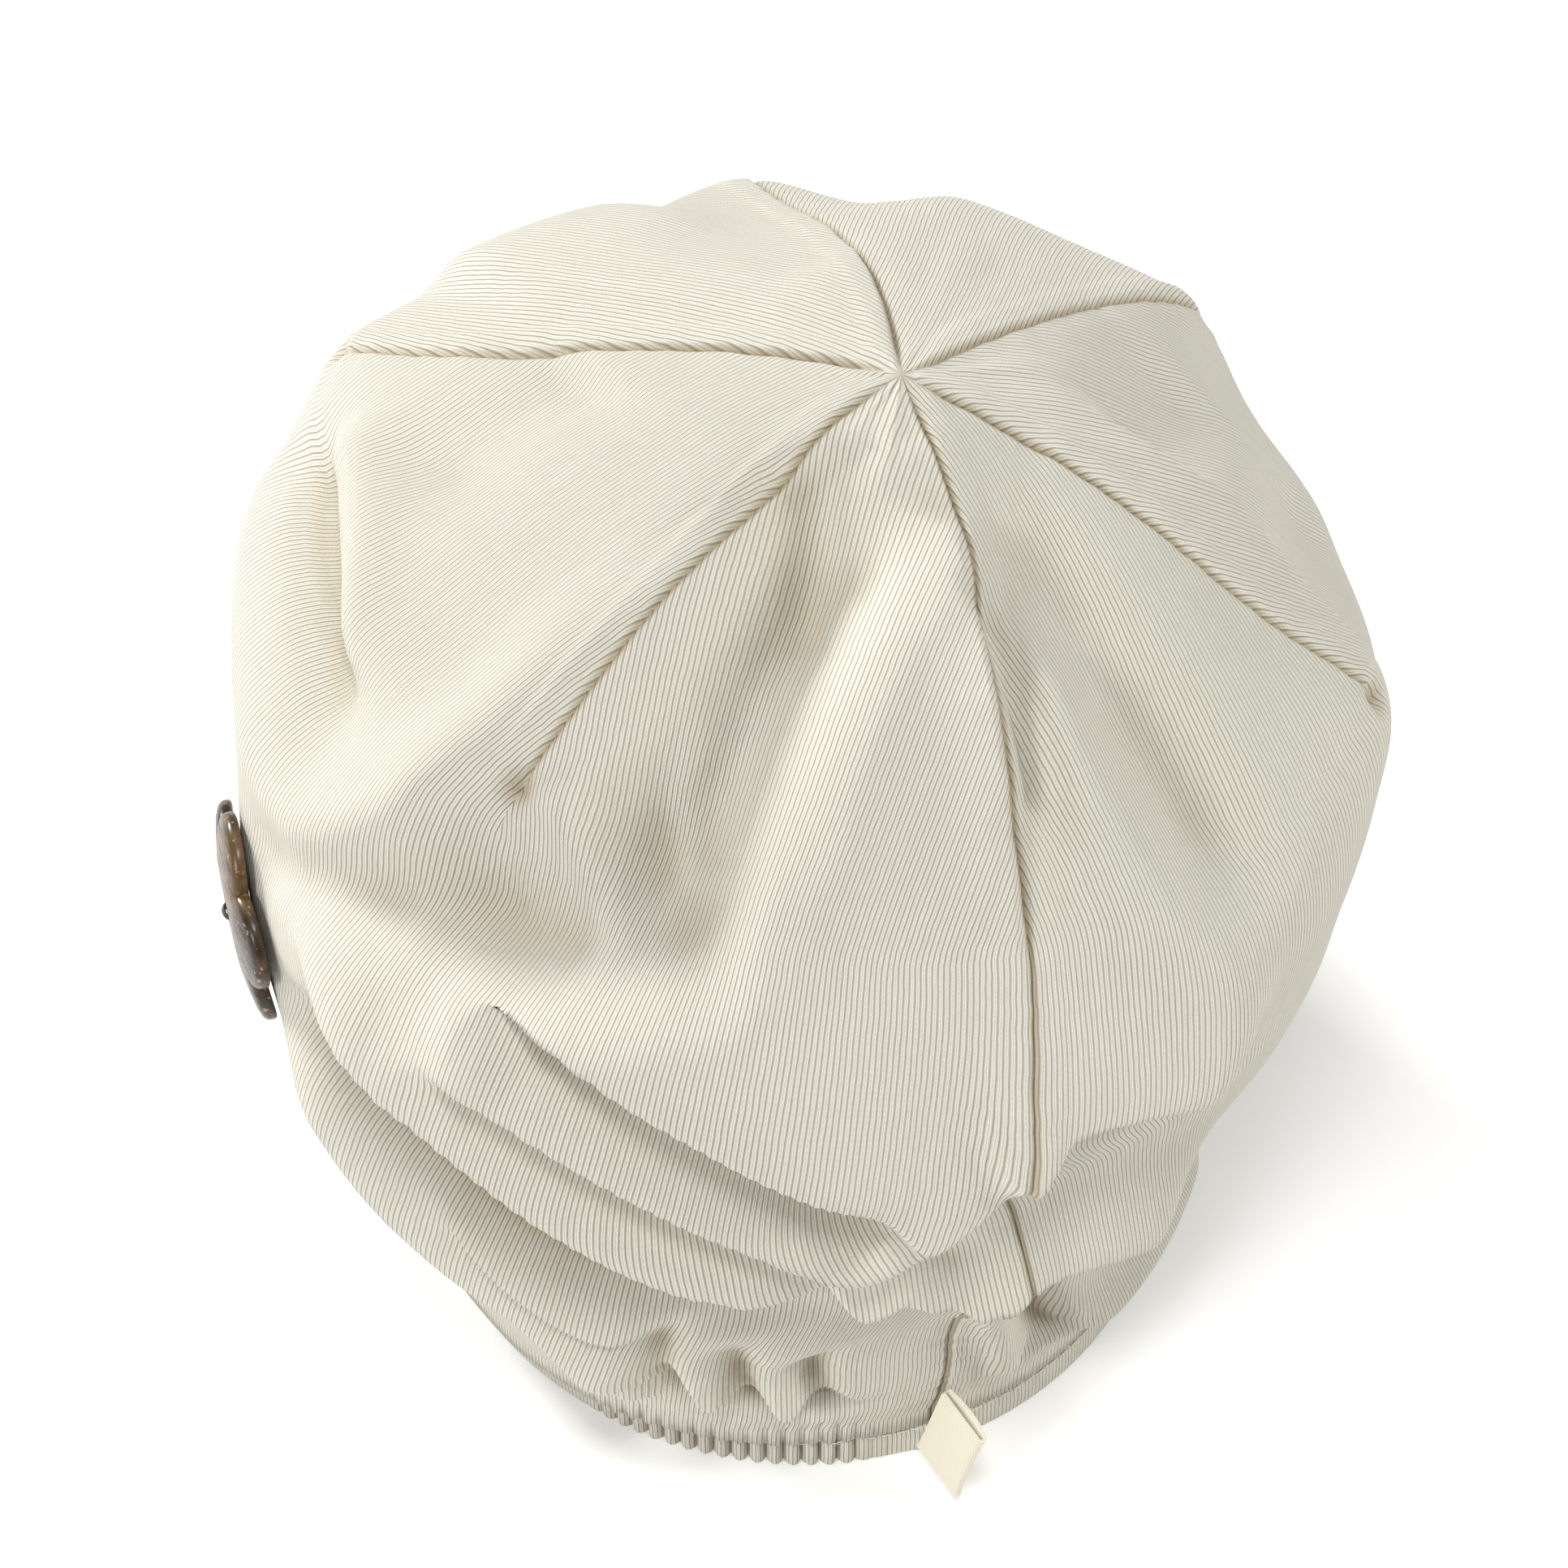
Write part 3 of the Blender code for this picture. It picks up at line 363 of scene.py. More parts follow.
def spline(places, values, at):
    """A smooth curve through the values, which stand at places, read at each place of at."""
    places = np.asarray(places, float)
    values = np.asarray(values, float)
    gaps = np.diff(places)
    shape = (-1,) + (1,) * (values.ndim - 1)
    slopes = np.diff(values, axis=0) / gaps.reshape(shape)
    tangents = np.concatenate([slopes[:1], (slopes[:-1] + slopes[1:]) / 2, slopes[-1:]])
    k = np.clip(np.searchsorted(places, at, side="right") - 1, 0, len(places) - 2)
    gap = gaps[k].reshape(shape)
    s = ((at - places[k]) / gaps[k]).reshape(shape)
    here = (2 * s**3 - 3 * s**2 + 1) * values[k] + (s**3 - 2 * s**2 + s) * gap * tangents[k]
    after = (3 * s**2 - 2 * s**3) * values[k + 1] + (s**3 - s**2) * gap * tangents[k + 1]
    return here + after


def around(values, bearing):
    """Reads each row of values, which stand at even bearings round the hat, at its own bearing."""
    count = values.shape[1]
    place = (bearing / 360 * count) % count
    k = np.floor(place).astype(int) % count
    s = place - np.floor(place)
    rows = np.arange(values.shape[0])
    a, b, c, d = (values[rows, (k + j) % count] for j in (-1, 0, 1, 2))
    return b + 0.5 * s * (c - a + s * (2 * a - 5 * b + 4 * c - d + s * (3 * (b - c) + d - a)))


def smooth(low, high, x):
    """A soft step from 0 at low to 1 at high."""
    s = np.clip((x - low) / (high - low), 0, 1)
    return s * s * (3 - 2 * s)


def off_apex(low, up):
    """1 up to the height low, falling to 0 at the apex."""
    return 1 - smooth(low, 1, up)


def turned(angle):
    """The same direction, between -180 and 180 degrees."""
    return (angle + 180) % 360 - 180


def arc_through(start, middle, end, s):
    """A parabola from start through middle to end, read at s."""
    pull = 2 * middle - (start + end) / 2
    return (1 - s)**2 * start + 2 * s * (1 - s) * pull + s**2 * end


def table_rows(columns, rows):
    return [dict(zip(columns, row)) for row in rows]


def all_seams():
    return table_rows(SEAM_COLUMNS, SEAMS)


def ring_values(up):
    """The ring table's columns after up, read at each height."""
    table = np.array(RINGS)
    return spline(table[:, 0], table[:, 1:], up)


def hem_radius(bearing):
    a = np.radians(bearing)
    return 1 / np.hypot(np.sin(a) / (HEM_WIDTH / 2), np.cos(a) / (HEM_DEPTH / 2))


def reach(bearing, up):
    """The cloth's distance from its ring's own centre."""
    return hem_radius(bearing) * around(ring_values(up)[:, 5:], bearing)


def form(bearing, up):
    """Points of the hat's form without its folds and seams."""
    row = ring_values(up)
    r = reach(bearing, up)
    a = np.radians(bearing)
    x = r * np.sin(a) - row[:, 0] * APEX_RIGHT
    y = r * np.cos(a) - row[:, 0] * APEX_FRONT
    z = around(row[:, 1:5], bearing) * HAT_HEIGHT
    return np.stack([x, y, z], axis=1)


def form_normal(bearing, up):
    """Outward directions of the form."""
    step = 0.004
    below_apex = np.minimum(up, 0.99)
    along = form(bearing, np.clip(up + step, 0, 0.995)) - form(bearing, np.clip(up - step, 0, 0.985))
    across = form(bearing + 0.5, below_apex) - form(bearing - 0.5, below_apex)
    n = np.cross(along, across)
    return n / np.linalg.norm(n, axis=1, keepdims=True)


def fold_profile(fold, bearing, up, r):
    """1 on the fold's crest, falling to 0 over its width at each side and at both ends."""
    s = np.linspace(0, 1, FOLD_STEPS)
    path_bearing = arc_through(fold["from_bearing"], fold["by_bearing"], fold["to_bearing"], s)
    path_up = arc_through(fold["from_up"], fold["by_up"], fold["to_up"], s)
    scale = np.radians(r)
    nearest = np.full(bearing.shape, np.inf)
    above = np.zeros(bearing.shape, bool)
    place = np.zeros(bearing.shape)
    for i in range(FOLD_STEPS - 1):
        ax = turned(bearing - path_bearing[i]) * scale
        ay = (up - path_up[i]) * CLOTH_LENGTH
        tx = (path_bearing[i + 1] - path_bearing[i]) * scale
        ty = (path_up[i + 1] - path_up[i]) * CLOTH_LENGTH
        k = np.clip((ax * tx + ay * ty) / np.maximum(tx * tx + ty * ty, 1e-12), 0, 1)
        dx = ax - k * tx
        dy = ay - k * ty
        distance = np.hypot(dx, dy)
        closer = distance < nearest
        nearest = np.where(closer, distance, nearest)
        above = np.where(closer, tx * dy - ty * dx <= 0, above)
        place = np.where(closer, (i + k) / (FOLD_STEPS - 1), place)
    ends = smooth(0, FOLD_FADE, place) * smooth(0, FOLD_FADE, 1 - place)
    over = max(fold["over"] * FOLD_WIDTH, FOLD_EDGE)
    under = max(fold["under"] * FOLD_WIDTH, FOLD_EDGE)
    lowered = (fold["over"] + fold["under"]) * FOLD_WIDTH / (over + under)
    width = np.where(above, over, under) * (FOLD_END + FOLD_MIDDLE * ends) + FOLD_SOFT * (1 - ends)
    return np.exp(-(nearest / width)**2) * ends * lowered


def seam_bearing(seam, up):
    """A seam's bearing at each height. A dart's seam keeps its tip's bearing below the tip."""
    if seam["name"] == "back":
        path = np.array(BACK_SEAM, float)
        return spline(path[:, 0], path[:, 1], up)
    s = np.clip((1 - up) / (1 - seam["tip_up"]), 0, 1)
    return arc_through(seam["top"], seam["middle"], seam["tip"], s)


def aside_of(seam, bearing, up, r):
    """Distance from a seam across the cloth, in metres."""
    return turned(bearing - seam_bearing(seam, up)) * np.radians(r)


def seam_relief(seam, bearing, up, r):
    """Lift of the cloth at a seam: its groove, the welt beside it, and a dart's raised, pinched tip."""
    aside = aside_of(seam, bearing, up, r)
    beyond = (up - seam["tip_up"]) * CLOTH_LENGTH
    out = aside * seam["welt_side"]
    welt = smooth(0, 0.2 * WELT_WIDTH, out) * (1 - smooth(0.8 * WELT_WIDTH, 1.25 * WELT_WIDTH, out))
    groove = np.exp(-(aside / SEAM_GROOVE_WIDTH)**2)
    lift = off_apex(SEAM_FADE, up) * (WELT_LIFT * welt - SEAM_GROOVE * groove)
    if seam["name"] == "back":
        return lift
    from_tip = np.hypot(aside, beyond)
    corner = seam["corner"] * TIP_CORNER * np.exp(-(from_tip / TIP_CORNER_WIDTH)**2)
    pit = TIP_PIT * np.exp(-(from_tip / TIP_PIT_WIDTH)**2)
    return lift * smooth(-0.3 * WELT_WIDTH, 0.6 * WELT_WIDTH, beyond) + corner - pit


def pleats(bearing):
    """Lift of the small pleats that the elastic gathers at the back of the hem."""
    here = turned(bearing)
    where = smooth(0, PLEATS_SOFT, here - PLEATS_FROM) * smooth(0, PLEATS_SOFT, PLEATS_TO - here)
    return PLEAT_LIFT * where * (2 * np.abs(np.cos(math.pi * here / PLEAT_PITCH))**PLEAT_ROUND - PLEAT_SUNK)


def cloth(bearing, up):
    """Points of the cloth's outside, from its bearing and its height between the hem 0 and apex 1."""
    r = np.maximum(reach(bearing, up), LEAST_REACH)
    above_hem = smooth(*FOLDS_IN, up)
    lift = np.zeros(up.shape)
    sag = np.zeros(up.shape)
    for fold in table_rows(FOLD_COLUMNS, FOLDS):
        profile = fold_profile(fold, bearing, up, r) * FOLD_LIFT * above_hem
        lift += fold["lift"] * profile
        sag += fold["sag"] * profile
    for seam in all_seams():
        lift += seam_relief(seam, bearing, up, r)
    points = form(bearing, up) + form_normal(bearing, up) * lift[:, None]
    points[:, 2] -= sag
    return points


def column_shares(seam):
    """Shares across a seam's panel at which its columns meet. They crowd towards the seams."""
    count = round(seam["panel_columns"] * COLUMNS_FINER)
    s = np.arange(count + 1) / count
    return s - COLUMN_CROWD * np.sin(math.tau * s) / math.tau


def column_bearings(up):
    """Bearings of the cloth's columns, which follow the seams, a row for each height."""
    seams = all_seams()
    paths = [seam_bearing(seam, up) for seam in seams]
    paths.append(paths[0] + 360)
    panels = []
    for seam, left, right in zip(seams, paths, paths[1:]):
        panels.append(left[:, None] + (right - left)[:, None] * column_shares(seam)[:-1])
    return np.concatenate(panels, axis=1)


def row_heights(low):
    """Heights of the cloth's rows between low and the apex, as the row zones divide it."""
    heights = []
    for zone in table_rows(ROW_ZONE_COLUMNS, ROW_ZONES):
        heights.append(np.linspace(low, zone["to_up"], round(zone["rows"] * ROWS_FINER), endpoint=False))
        low = zone["to_up"]
    return np.concatenate(heights)


def lattice_noise(bearing, up, around_count, up_count, seed):
    """Smooth noise between -1 and 1 that closes round the hat."""
    lattice = np.random.default_rng(seed).uniform(-1, 1, (up_count + 2, around_count))
    x = (bearing / 360 * around_count) % around_count
    y = np.clip(up, 0, 1) * up_count
    i = np.floor(y).astype(int)
    j = np.floor(x).astype(int) % around_count
    k = (j + 1) % around_count
    fx = smooth(0, 1, x - np.floor(x))
    fy = smooth(0, 1, y - i)
    low = lattice[i, j] * (1 - fx) + lattice[i, k] * fx
    high = lattice[i + 1, j] * (1 - fx) + lattice[i + 1, k] * fx
    return low * (1 - fy) + high * fy


def sewn_part(seam, up):
    """1 where a seam is sewn, 0 below a dart's tip."""
    if seam["name"] == "back":
        return np.ones(up.shape)
    return smooth(-0.02, 0.02, up - seam["tip_up"])


def fine_relief(bearing, up, r, cloth_sizes):
    """What the solids leave out: the limp cloth's small waves and the puckers beside its seams."""
    lift = np.zeros(up.shape)
    for share, around_count, up_count, seed in WAVES:
        lift += cloth_sizes.wave_lift * share * lattice_noise(bearing, up, around_count, up_count, seed)
    drift = lattice_noise(bearing * 0, up, 4, 60, 7)
    wave = np.cos(math.tau * up * CLOTH_LENGTH / cloth_sizes.pucker_pitch + 3 * drift)
    for seam in all_seams():
        near = np.exp(-(aside_of(seam, bearing, up, r) / PUCKER_REACH)**2)
        lift += cloth_sizes.pucker_lift * wave * near * sewn_part(seam, up) * off_apex(PUCKER_FADE, up)
    return lift * smooth(*RELIEF_IN, up)


def flat_pattern():
    """The cloth laid flat: lengths from the hem at even heights, and each panel's width at the tips."""
    up = np.linspace(0, 1, PATTERN_ROWS)
    lengths = np.zeros(up.shape)
    bearings = np.arange(0.0, 360.0, PATTERN_TURN)
    for bearing in bearings:
        points = form(np.full(up.shape, bearing), up)
        lengths[1:] += np.cumsum(np.linalg.norm(np.diff(points, axis=0), axis=1)) / len(bearings)
    tips = np.array([TIPS_UP])
    starts = [seam_bearing(seam, tips)[0] for seam in all_seams()]
    widths = []
    for left, right in zip(starts, starts[1:] + [starts[0] + 360]):
        points = form(np.linspace(left, right, PATTERN_ACROSS), np.full(PATTERN_ACROSS, TIPS_UP))
        widths.append(np.linalg.norm(np.diff(points, axis=0), axis=1).sum())
    return up, lengths, widths


def knit_places(pattern, panel, share, up):
    """Places on the flat knit, in metres, of shares across a panel at each height."""
    heights, lengths, widths = pattern
    turns = [math.radians(row["turn"]) for row in table_rows(GRAIN_COLUMNS, GRAIN)]
    full = lengths[-1]
    tip_reach = full - np.interp(TIPS_UP, heights, lengths)
    spreads = [width / (2 * tip_reach) for width in widths]
    before = sum(tip_reach * (math.sin(s + t) + math.sin(s - t)) for s, t in zip(spreads[:panel], turns))
    start = before + tip_reach * math.sin(spreads[panel] - turns[panel])
    even = before + share * 2 * tip_reach * math.sin(spreads[panel]) * math.cos(turns[panel])
    angle = spreads[panel] * (2 * share - 1) + turns[panel]
    from_apex = full - np.interp(up, heights, lengths)
    reach_in = np.minimum(from_apex, tip_reach)
    below = from_apex - reach_in
    level = smooth(0, LEVEL_LENGTH, below)
    across = (start + reach_in * np.sin(angle)) * (1 - level) + even * level
    along = full - reach_in * (np.cos(angle) * (1 - level) + level) - below
    return np.stack([across, along], axis=-1)


def column_places(up):
    """Flat places at the left and at the right edge of each column of the cloth, for each height."""
    pattern = flat_pattern()
    panels = [knit_places(pattern, panel, column_shares(seam)[None, :], up[:, None])
              for panel, seam in enumerate(all_seams())]
    lefts = np.concatenate([places[:, :-1] for places in panels], axis=1)
    return lefts, np.concatenate([places[:, 1:] for places in panels], axis=1)


def edge_places(across, along):
    """The same for a plain grid, from its lengths across and along."""
    return [np.stack(np.broadcast_arrays(edges[None, :], along[:, None]), axis=-1)
            for edges in (across[:-1], across[1:])]


def run_of(steps):
    """The length reached before and after each step."""
    return np.concatenate([[0], np.cumsum(steps)])


def rows_beside(values):
    """For each row of a grid the row before it and the row after it; at its ends, the row itself."""
    padded = np.concatenate([values[:1], values, values[-1:]])
    return padded[:-2], padded[2:]


def softened(values, steps):
    """A grid blurred towards its neighbours, closed round the hat and open at its ends."""
    for _ in range(steps):
        values = (np.roll(values, 1, 1) + values + np.roll(values, -1, 1)) / 3
        low, high = rows_beside(values)
        values = (low + values + high) / 3
    return values


def hollow_shade(points, normals):
    """How deep each point of a grid lies below the cloth around it, from 0 to 1."""
    blurred = softened(points, HOLLOW_STEPS)
    return smooth(HOLLOW_EDGE, HOLLOW_DEEP, ((blurred - points) * normals).sum(axis=-1))


def seam_shade(bearing, up, r):
    """1 in the line of each seam and in the pits of the darts' tips."""
    shade = np.zeros(up.shape)
    for seam in all_seams():
        aside = aside_of(seam, bearing, up, r)
        line = np.exp(-(aside / SEAM_GROOVE_WIDTH)**2) * sewn_part(seam, up)
        shade = np.maximum(shade, line * off_apex(SEAM_FADE, up))
        if seam["name"] != "back":
            beyond = (up - seam["tip_up"]) * CLOTH_LENGTH
            shade = np.maximum(shade, np.exp(-(np.hypot(aside, beyond) / TIP_PIT_WIDTH)**2))
    return shade


def numbered(points):
    """The number of each point of a grid."""
    rows, columns = points.shape[:2]
    return np.arange(rows * columns).reshape(rows, columns)


def facing(faces, places, inside_out):
    """Faces and the flat places of their corners, turned over for an inside."""
    return (faces[:, ::-1], places[:, ::-1]) if inside_out else (faces, places)


def quads_between(grid, lefts, rights, inside_out):
    """Faces of a grid that closes round the hat, with the flat place of each of their corners."""
    after = np.roll(grid, -1, axis=1)
    faces = np.stack([grid[:-1], grid[1:], after[1:], after[:-1]], axis=-1).reshape(-1, 4)
    places = np.stack([lefts[:-1], lefts[1:], rights[1:], rights[:-1]], axis=-2).reshape(-1, 4, 2)
    return facing(faces, places, inside_out)


def fan_to(tip, grid, lefts, rights, inside_out):
    """Triangles from a grid's last row to one point."""
    after = np.roll(grid[-1], -1)
    middle = (lefts[-1] + rights[-1]) / 2
    faces = np.stack([grid[-1], np.full(after.shape, tip), after], axis=-1)
    places = np.stack([lefts[-1], middle, rights[-1]], axis=-2)
    return facing(faces, places, inside_out)


def mesh_of(name, vertices, parts):
    """A smooth mesh from groups of faces and their corners' flat places."""
    faces = [face for part in parts for face in part[0].tolist()]
    places = np.concatenate([part[1].reshape(-1, 2) for part in parts])
    mesh = bpy.data.meshes.new(name)
    mesh.from_pydata(vertices.tolist(), [], faces)
    mesh.uv_layers.new(name="cloth").data.foreach_set("uv", places.ravel())
    mesh.shade_smooth()
    return mesh


def edge_strip(outer, inner, places):
    """Triangles between a fine ring and one of every second of its points."""
    even = outer[::2]
    odd = outer[1::2]
    after = np.roll(even, -1)
    inner_after = np.roll(inner, -1)
    here = places[::2]
    groups = ((even, odd, inner), (odd, inner_after, inner), (odd, after, inner_after))
    faces = np.concatenate([np.stack(group, axis=-1) for group in groups])
    return faces, np.repeat(np.tile(here, (3, 1)), 3, axis=0)


def inner_side(points, normals, up):
    """The cloth's inner side: softer than its outside, and everywhere at least a wall below it."""
    soft = softened(points, 2)
    sunk = np.maximum(0, ((soft - points) * normals).sum(axis=-1))
    for _ in range(INSIDE_ROWS):
        sunk = np.maximum.reduce([sunk, np.roll(sunk, 1, 1), np.roll(sunk, -1, 1)])
        sunk = np.maximum(*rows_beside(sunk))
    wall = CLOTH_WALL * (1 + INSIDE_DEEPER * smooth(*INSIDE_IN, up) * off_apex(INSIDE_FADE, up))
    return soft - normals * (wall[:, None] + sunk)[:, :, None]


def set_painted_shade(mesh, shade):
    """The painted shade of a mesh's points, kept for its material."""
    mesh.attributes.new("crease", "FLOAT", "POINT").data.foreach_set("value", shade.ravel())


def crown_mesh(cloth_sizes):
    """The crown: a fine outside, a coarser inside a wall below it, and the edge between them."""
    foot = BAND_HEIGHT + GAP
    up = row_heights(FIRST_ROW * foot / HAT_HEIGHT)
    bearing = column_bearings(up)
    shape = (*bearing.shape, 3)
    b = bearing.ravel()
    u = np.repeat(up, bearing.shape[1])
    r = np.maximum(reach(b, u), LEAST_REACH)
    normal = form_normal(b, u)
    points = cloth(b, u)
    lift = fine_relief(b, u, r, cloth_sizes) + pleats(b) * (1 - smooth(*PLEATS_OUT, u))
    lift -= HEM_TUCK * np.exp(-np.maximum(points[:, 2] - foot, 0) / HEM_TUCK_REACH)
    points = (points + normal * lift[:, None] + hat_shift()).reshape(shape)
    points[0, :, 2] = foot
    normal = normal.reshape(shape)
    apex = cloth(np.array([0.0]), np.array([1.0])) + hat_shift()

    inside = inner_side(points, normal, up)[::INSIDE_ROWS, ::INSIDE_COLUMNS]
    vertices = np.concatenate([points.reshape(-1, 3), apex, inside.reshape(-1, 3), apex - [0, 0, CLOTH_WALL]])
    outer = numbered(points)
    tip = outer.size
    inner = numbered(inside) + tip + 1
    inner_tip = len(vertices) - 1
    lefts, rights = column_places(up)
    inner_lefts = lefts[::INSIDE_ROWS, ::INSIDE_COLUMNS]
    inner_rights = rights[::INSIDE_ROWS, 1::INSIDE_COLUMNS]
    mesh = mesh_of("crown_cloth", vertices, [
        quads_between(outer, lefts, rights, False),
        fan_to(tip, outer, lefts, rights, False),
        quads_between(inner, inner_lefts, inner_rights, True),
        fan_to(inner_tip, inner, inner_lefts, inner_rights, True),
        edge_strip(outer[0], inner[0], lefts[0]),
    ])
    # Painted shade, kept in the crease attribute: the cloth's hollows, the seams' lines, the darts' pits, and
    # evenly the inside and the apex
    calm = 1 - HOLLOW_CALM * smooth(HOLLOW_LOW, HOLLOW_HIGH, u)
    shade = np.full(len(vertices), INSIDE_SHADE)
    shade[:tip] = np.maximum(hollow_shade(points, normal).ravel() * calm, seam_shade(b, u, r))
    shade[tip] = APEX_SHADE
    set_painted_shade(mesh, shade)
    return mesh


def band_bearings(pleats_finer=1, plain_finer=1):
    """Bearings round the hem band, close together where the elastic pleats it."""
    pleated = np.linspace(PLEATS_FROM, PLEATS_TO, BAND_PLEAT_COLUMNS * pleats_finer, endpoint=False)
    plain = np.linspace(PLEATS_TO, PLEATS_FROM + 360, BAND_PLAIN_COLUMNS * plain_finer, endpoint=False)
    return np.concatenate([pleated, plain])


def hem_outline(bearing):
    """The hem's outline with its pleats, and the directions in from it."""
    outside = cloth(bearing, np.zeros(bearing.shape))[:, :2]
    inward = outside.mean(axis=0) - outside
    inward /= np.linalg.norm(inward, axis=1, keepdims=True)
    return outside - inward * pleats(bearing)[:, None], inward


def hat_shift():
    """The step from the tables' own origin, the middle of the hem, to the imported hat's."""
    outline = hem_outline(band_bearings())[0]
    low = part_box("hem_band")[0]
    return np.array([low[0] - outline[:, 0].min(), low[1] - outline[:, 1].min(), 0.0])


def band_mesh():
    """The hem band: a soft tube with a flat foot, whose pleats deepen where the elastic gathers it."""
    bearing = band_bearings(BAND_FINER, BAND_FINER)
    outline, inward = hem_outline(bearing)
    deeper = pleats(bearing) * PLEAT_DEEPER
    rows = []
    for inset, height in BAND_SECTION[::-1]:
        flat = outline + inward * (inset * BAND_WALL - deeper * (1 - inset) * height)[:, None]
        rows.append(np.column_stack([flat, np.full(len(flat), height * BAND_HEIGHT)]))
    points = np.array(rows) + hat_shift()
    grid = numbered(points)
    steps = np.linalg.norm(np.diff(np.concatenate([points, points[:1]]), axis=0), axis=2).mean(axis=1)
    arc = np.linalg.norm(np.roll(outline, -1, axis=0) - outline, axis=1)
    closed = np.concatenate([grid, grid[:1]])
    quads = quads_between(closed, *edge_places(run_of(arc), run_of(steps)), False)
    mesh = mesh_of("hem_band", points.reshape(-1, 3), [quads])
    # Painted shade in the valleys between the hem band's pleats
    shade = PLEAT_SHADE * smooth(0, PLEAT_SHADE_DEPTH, -pleats(bearing))
    set_painted_shade(mesh, np.repeat(shade[None], len(BAND_SECTION), axis=0))
    return mesh


def linked(name, data):
    """A new object in the scene."""
    holder = bpy.data.objects.new(name, data)
    bpy.context.scene.collection.objects.link(holder)
    return holder


def new_piece(name, mesh, materials, node):
    """An object for a finished mesh that stands for a solid of the frame and rides on the hat's body."""
    for material in materials:
        mesh.materials.append(material)
    piece = linked(name, mesh)
    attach(piece, "root")
    if node:
        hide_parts(node)


def seated(surface, place, away, offsets):
    """place, moved along away until it stands a gap off the surface at each offset across it."""
    reaches = []
    for offset in offsets:
        hit = surface.ray_cast(place + offset + away * SEAT_SEARCH, -away)[0]
        if hit:
            reaches.append((hit - place - offset).dot(away))
    return place + away * (max(reaches) + GAP)


def cloth_surface():
    """A search tree over the crown and hem band as they are dressed, for the trims to sit on."""
    bm = bmesh.new()
    for name in ("beanie_crown", "beanie_hem"):
        bm.from_mesh(bpy.data.objects[name].data)
    tree = BVHTree.FromBMesh(bm)
    bm.free()
    return tree


def label_outline():
    """The folded ribbon seen from above: distances out from the seam and to the side, in order."""
    inner = RIBBON_OPEN / 2
    outer = inner + RIBBON_WALL
    turn = LABEL_REACH - outer
    angles = np.radians(np.linspace(90, -90, 7))
    straight = np.linspace(0, turn, 5)[:-1]
    outside = [(d, outer) for d in straight]
    outside += [(turn + outer * math.cos(a), outer * math.sin(a)) for a in angles]
    outside += [(d, -outer) for d in straight[::-1]]
    inside = [(d, -inner) for d in straight]
    inside += [(turn + inner * math.cos(a), inner * math.sin(a)) for a in angles[::-1]]
    inside += [(d, inner) for d in straight[::-1]]
    return outside + inside


def label_rows(surface):
    """The ribbon's rows of points, from its lower edge up: round its outside and back round its inside."""
    seam = all_seams()[0]
    shares = np.linspace(0, 1, LABEL_ROWS)
    heights = LABEL_FOOT + LABEL_HEIGHT * shares
    out = math.radians(seam_bearing(seam, np.zeros(1))[0] - LABEL_TURN)
    away = Vector((math.sin(out), math.cos(out), 0))
    side = Vector((math.cos(out), -math.sin(out), 0))
    ups = np.linspace(0, 0.3, 31)
    seam_heights = form(seam_bearing(seam, ups), ups)[:, 2]
    half = RIBBON_WALL + RIBBON_OPEN / 2
    spacing = LABEL_HEIGHT / (LABEL_ROWS - 1)
    offsets = [side * a + Vector((0, 0, h)) for a in np.linspace(-half, half, 7)
               for h in (-spacing / 2, 0, spacing / 2)]
    shift = Vector(hat_shift())
    roots = []
    for height in heights:
        up = np.array([np.interp(height, seam_heights, ups)])
        place = Vector(form(seam_bearing(seam, up), up)[0]) + shift
        place.z = height
        roots.append(seated(surface, place, away, offsets))
    low = roots[0]
    high = roots[-1]
    furthest = max((root - low.lerp(high, s)).dot(away) for root, s in zip(roots, shares))
    rows = []
    for s in shares:
        root = low.lerp(high, s) + away * furthest
        row = []
        for distance, aside in label_outline():
            along = distance / LABEL_REACH
            droop = LABEL_DROOP * along**2
            bow = LABEL_BOW * 4 * s * (1 - s) * along
            opened = 1 + LABEL_SPREAD * math.sin(math.pi * min(along, 1)) * s
            row.append(root + away * distance + side * (aside * opened + bow) - Vector((0, 0, droop)))
        rows.append(row)
    return rows


def label_mesh(surface):
    """The folded ribbon, with flat places for its weave."""
    rows = np.array([[tuple(point) for point in row] for row in label_rows(surface)])
    grid = numbered(rows)
    count = grid.shape[1]
    ring = np.concatenate([rows, rows[:, :1]], axis=1)
    across = run_of(np.linalg.norm(np.diff(ring, axis=1), axis=2).mean(axis=0))
    lefts, rights = edge_places(across, LABEL_HEIGHT * np.linspace(0, 1, LABEL_ROWS))
    parts = [quads_between(grid, lefts, rights, True)]
    for level, flip in ((0, False), (LABEL_ROWS - 1, True)):
        for j in range(count // 2 - 1):
            face = grid[level, [j, j + 1, count - 2 - j, count - 1 - j]]
            place = lefts[level, [j, j + 1, j + 1, j]]
            parts.append(facing(face[None], place[None], flip))
    mesh = mesh_of("ribbon_label", rows.reshape(-1, 3), parts)
    facing_out(mesh)
    return mesh


def facing_out(mesh):
    """Turns every face of a closed mesh outwards and keeps its edges crisp."""
    bm = bmesh.new()
    bm.from_mesh(mesh)
    bmesh.ops.remove_doubles(bm, verts=bm.verts, dist=1e-7)
    bmesh.ops.recalc_face_normals(bm, faces=bm.faces)
    bm.to_mesh(mesh)
    bm.free()
    crisp(mesh, TRIM_EDGE)


def crisp(mesh, degrees):
    """Smooth faces, with an edge wherever they meet at more than an angle."""
    mesh.shade_smooth()
    mesh.set_sharp_from_angle(angle=math.radians(degrees))


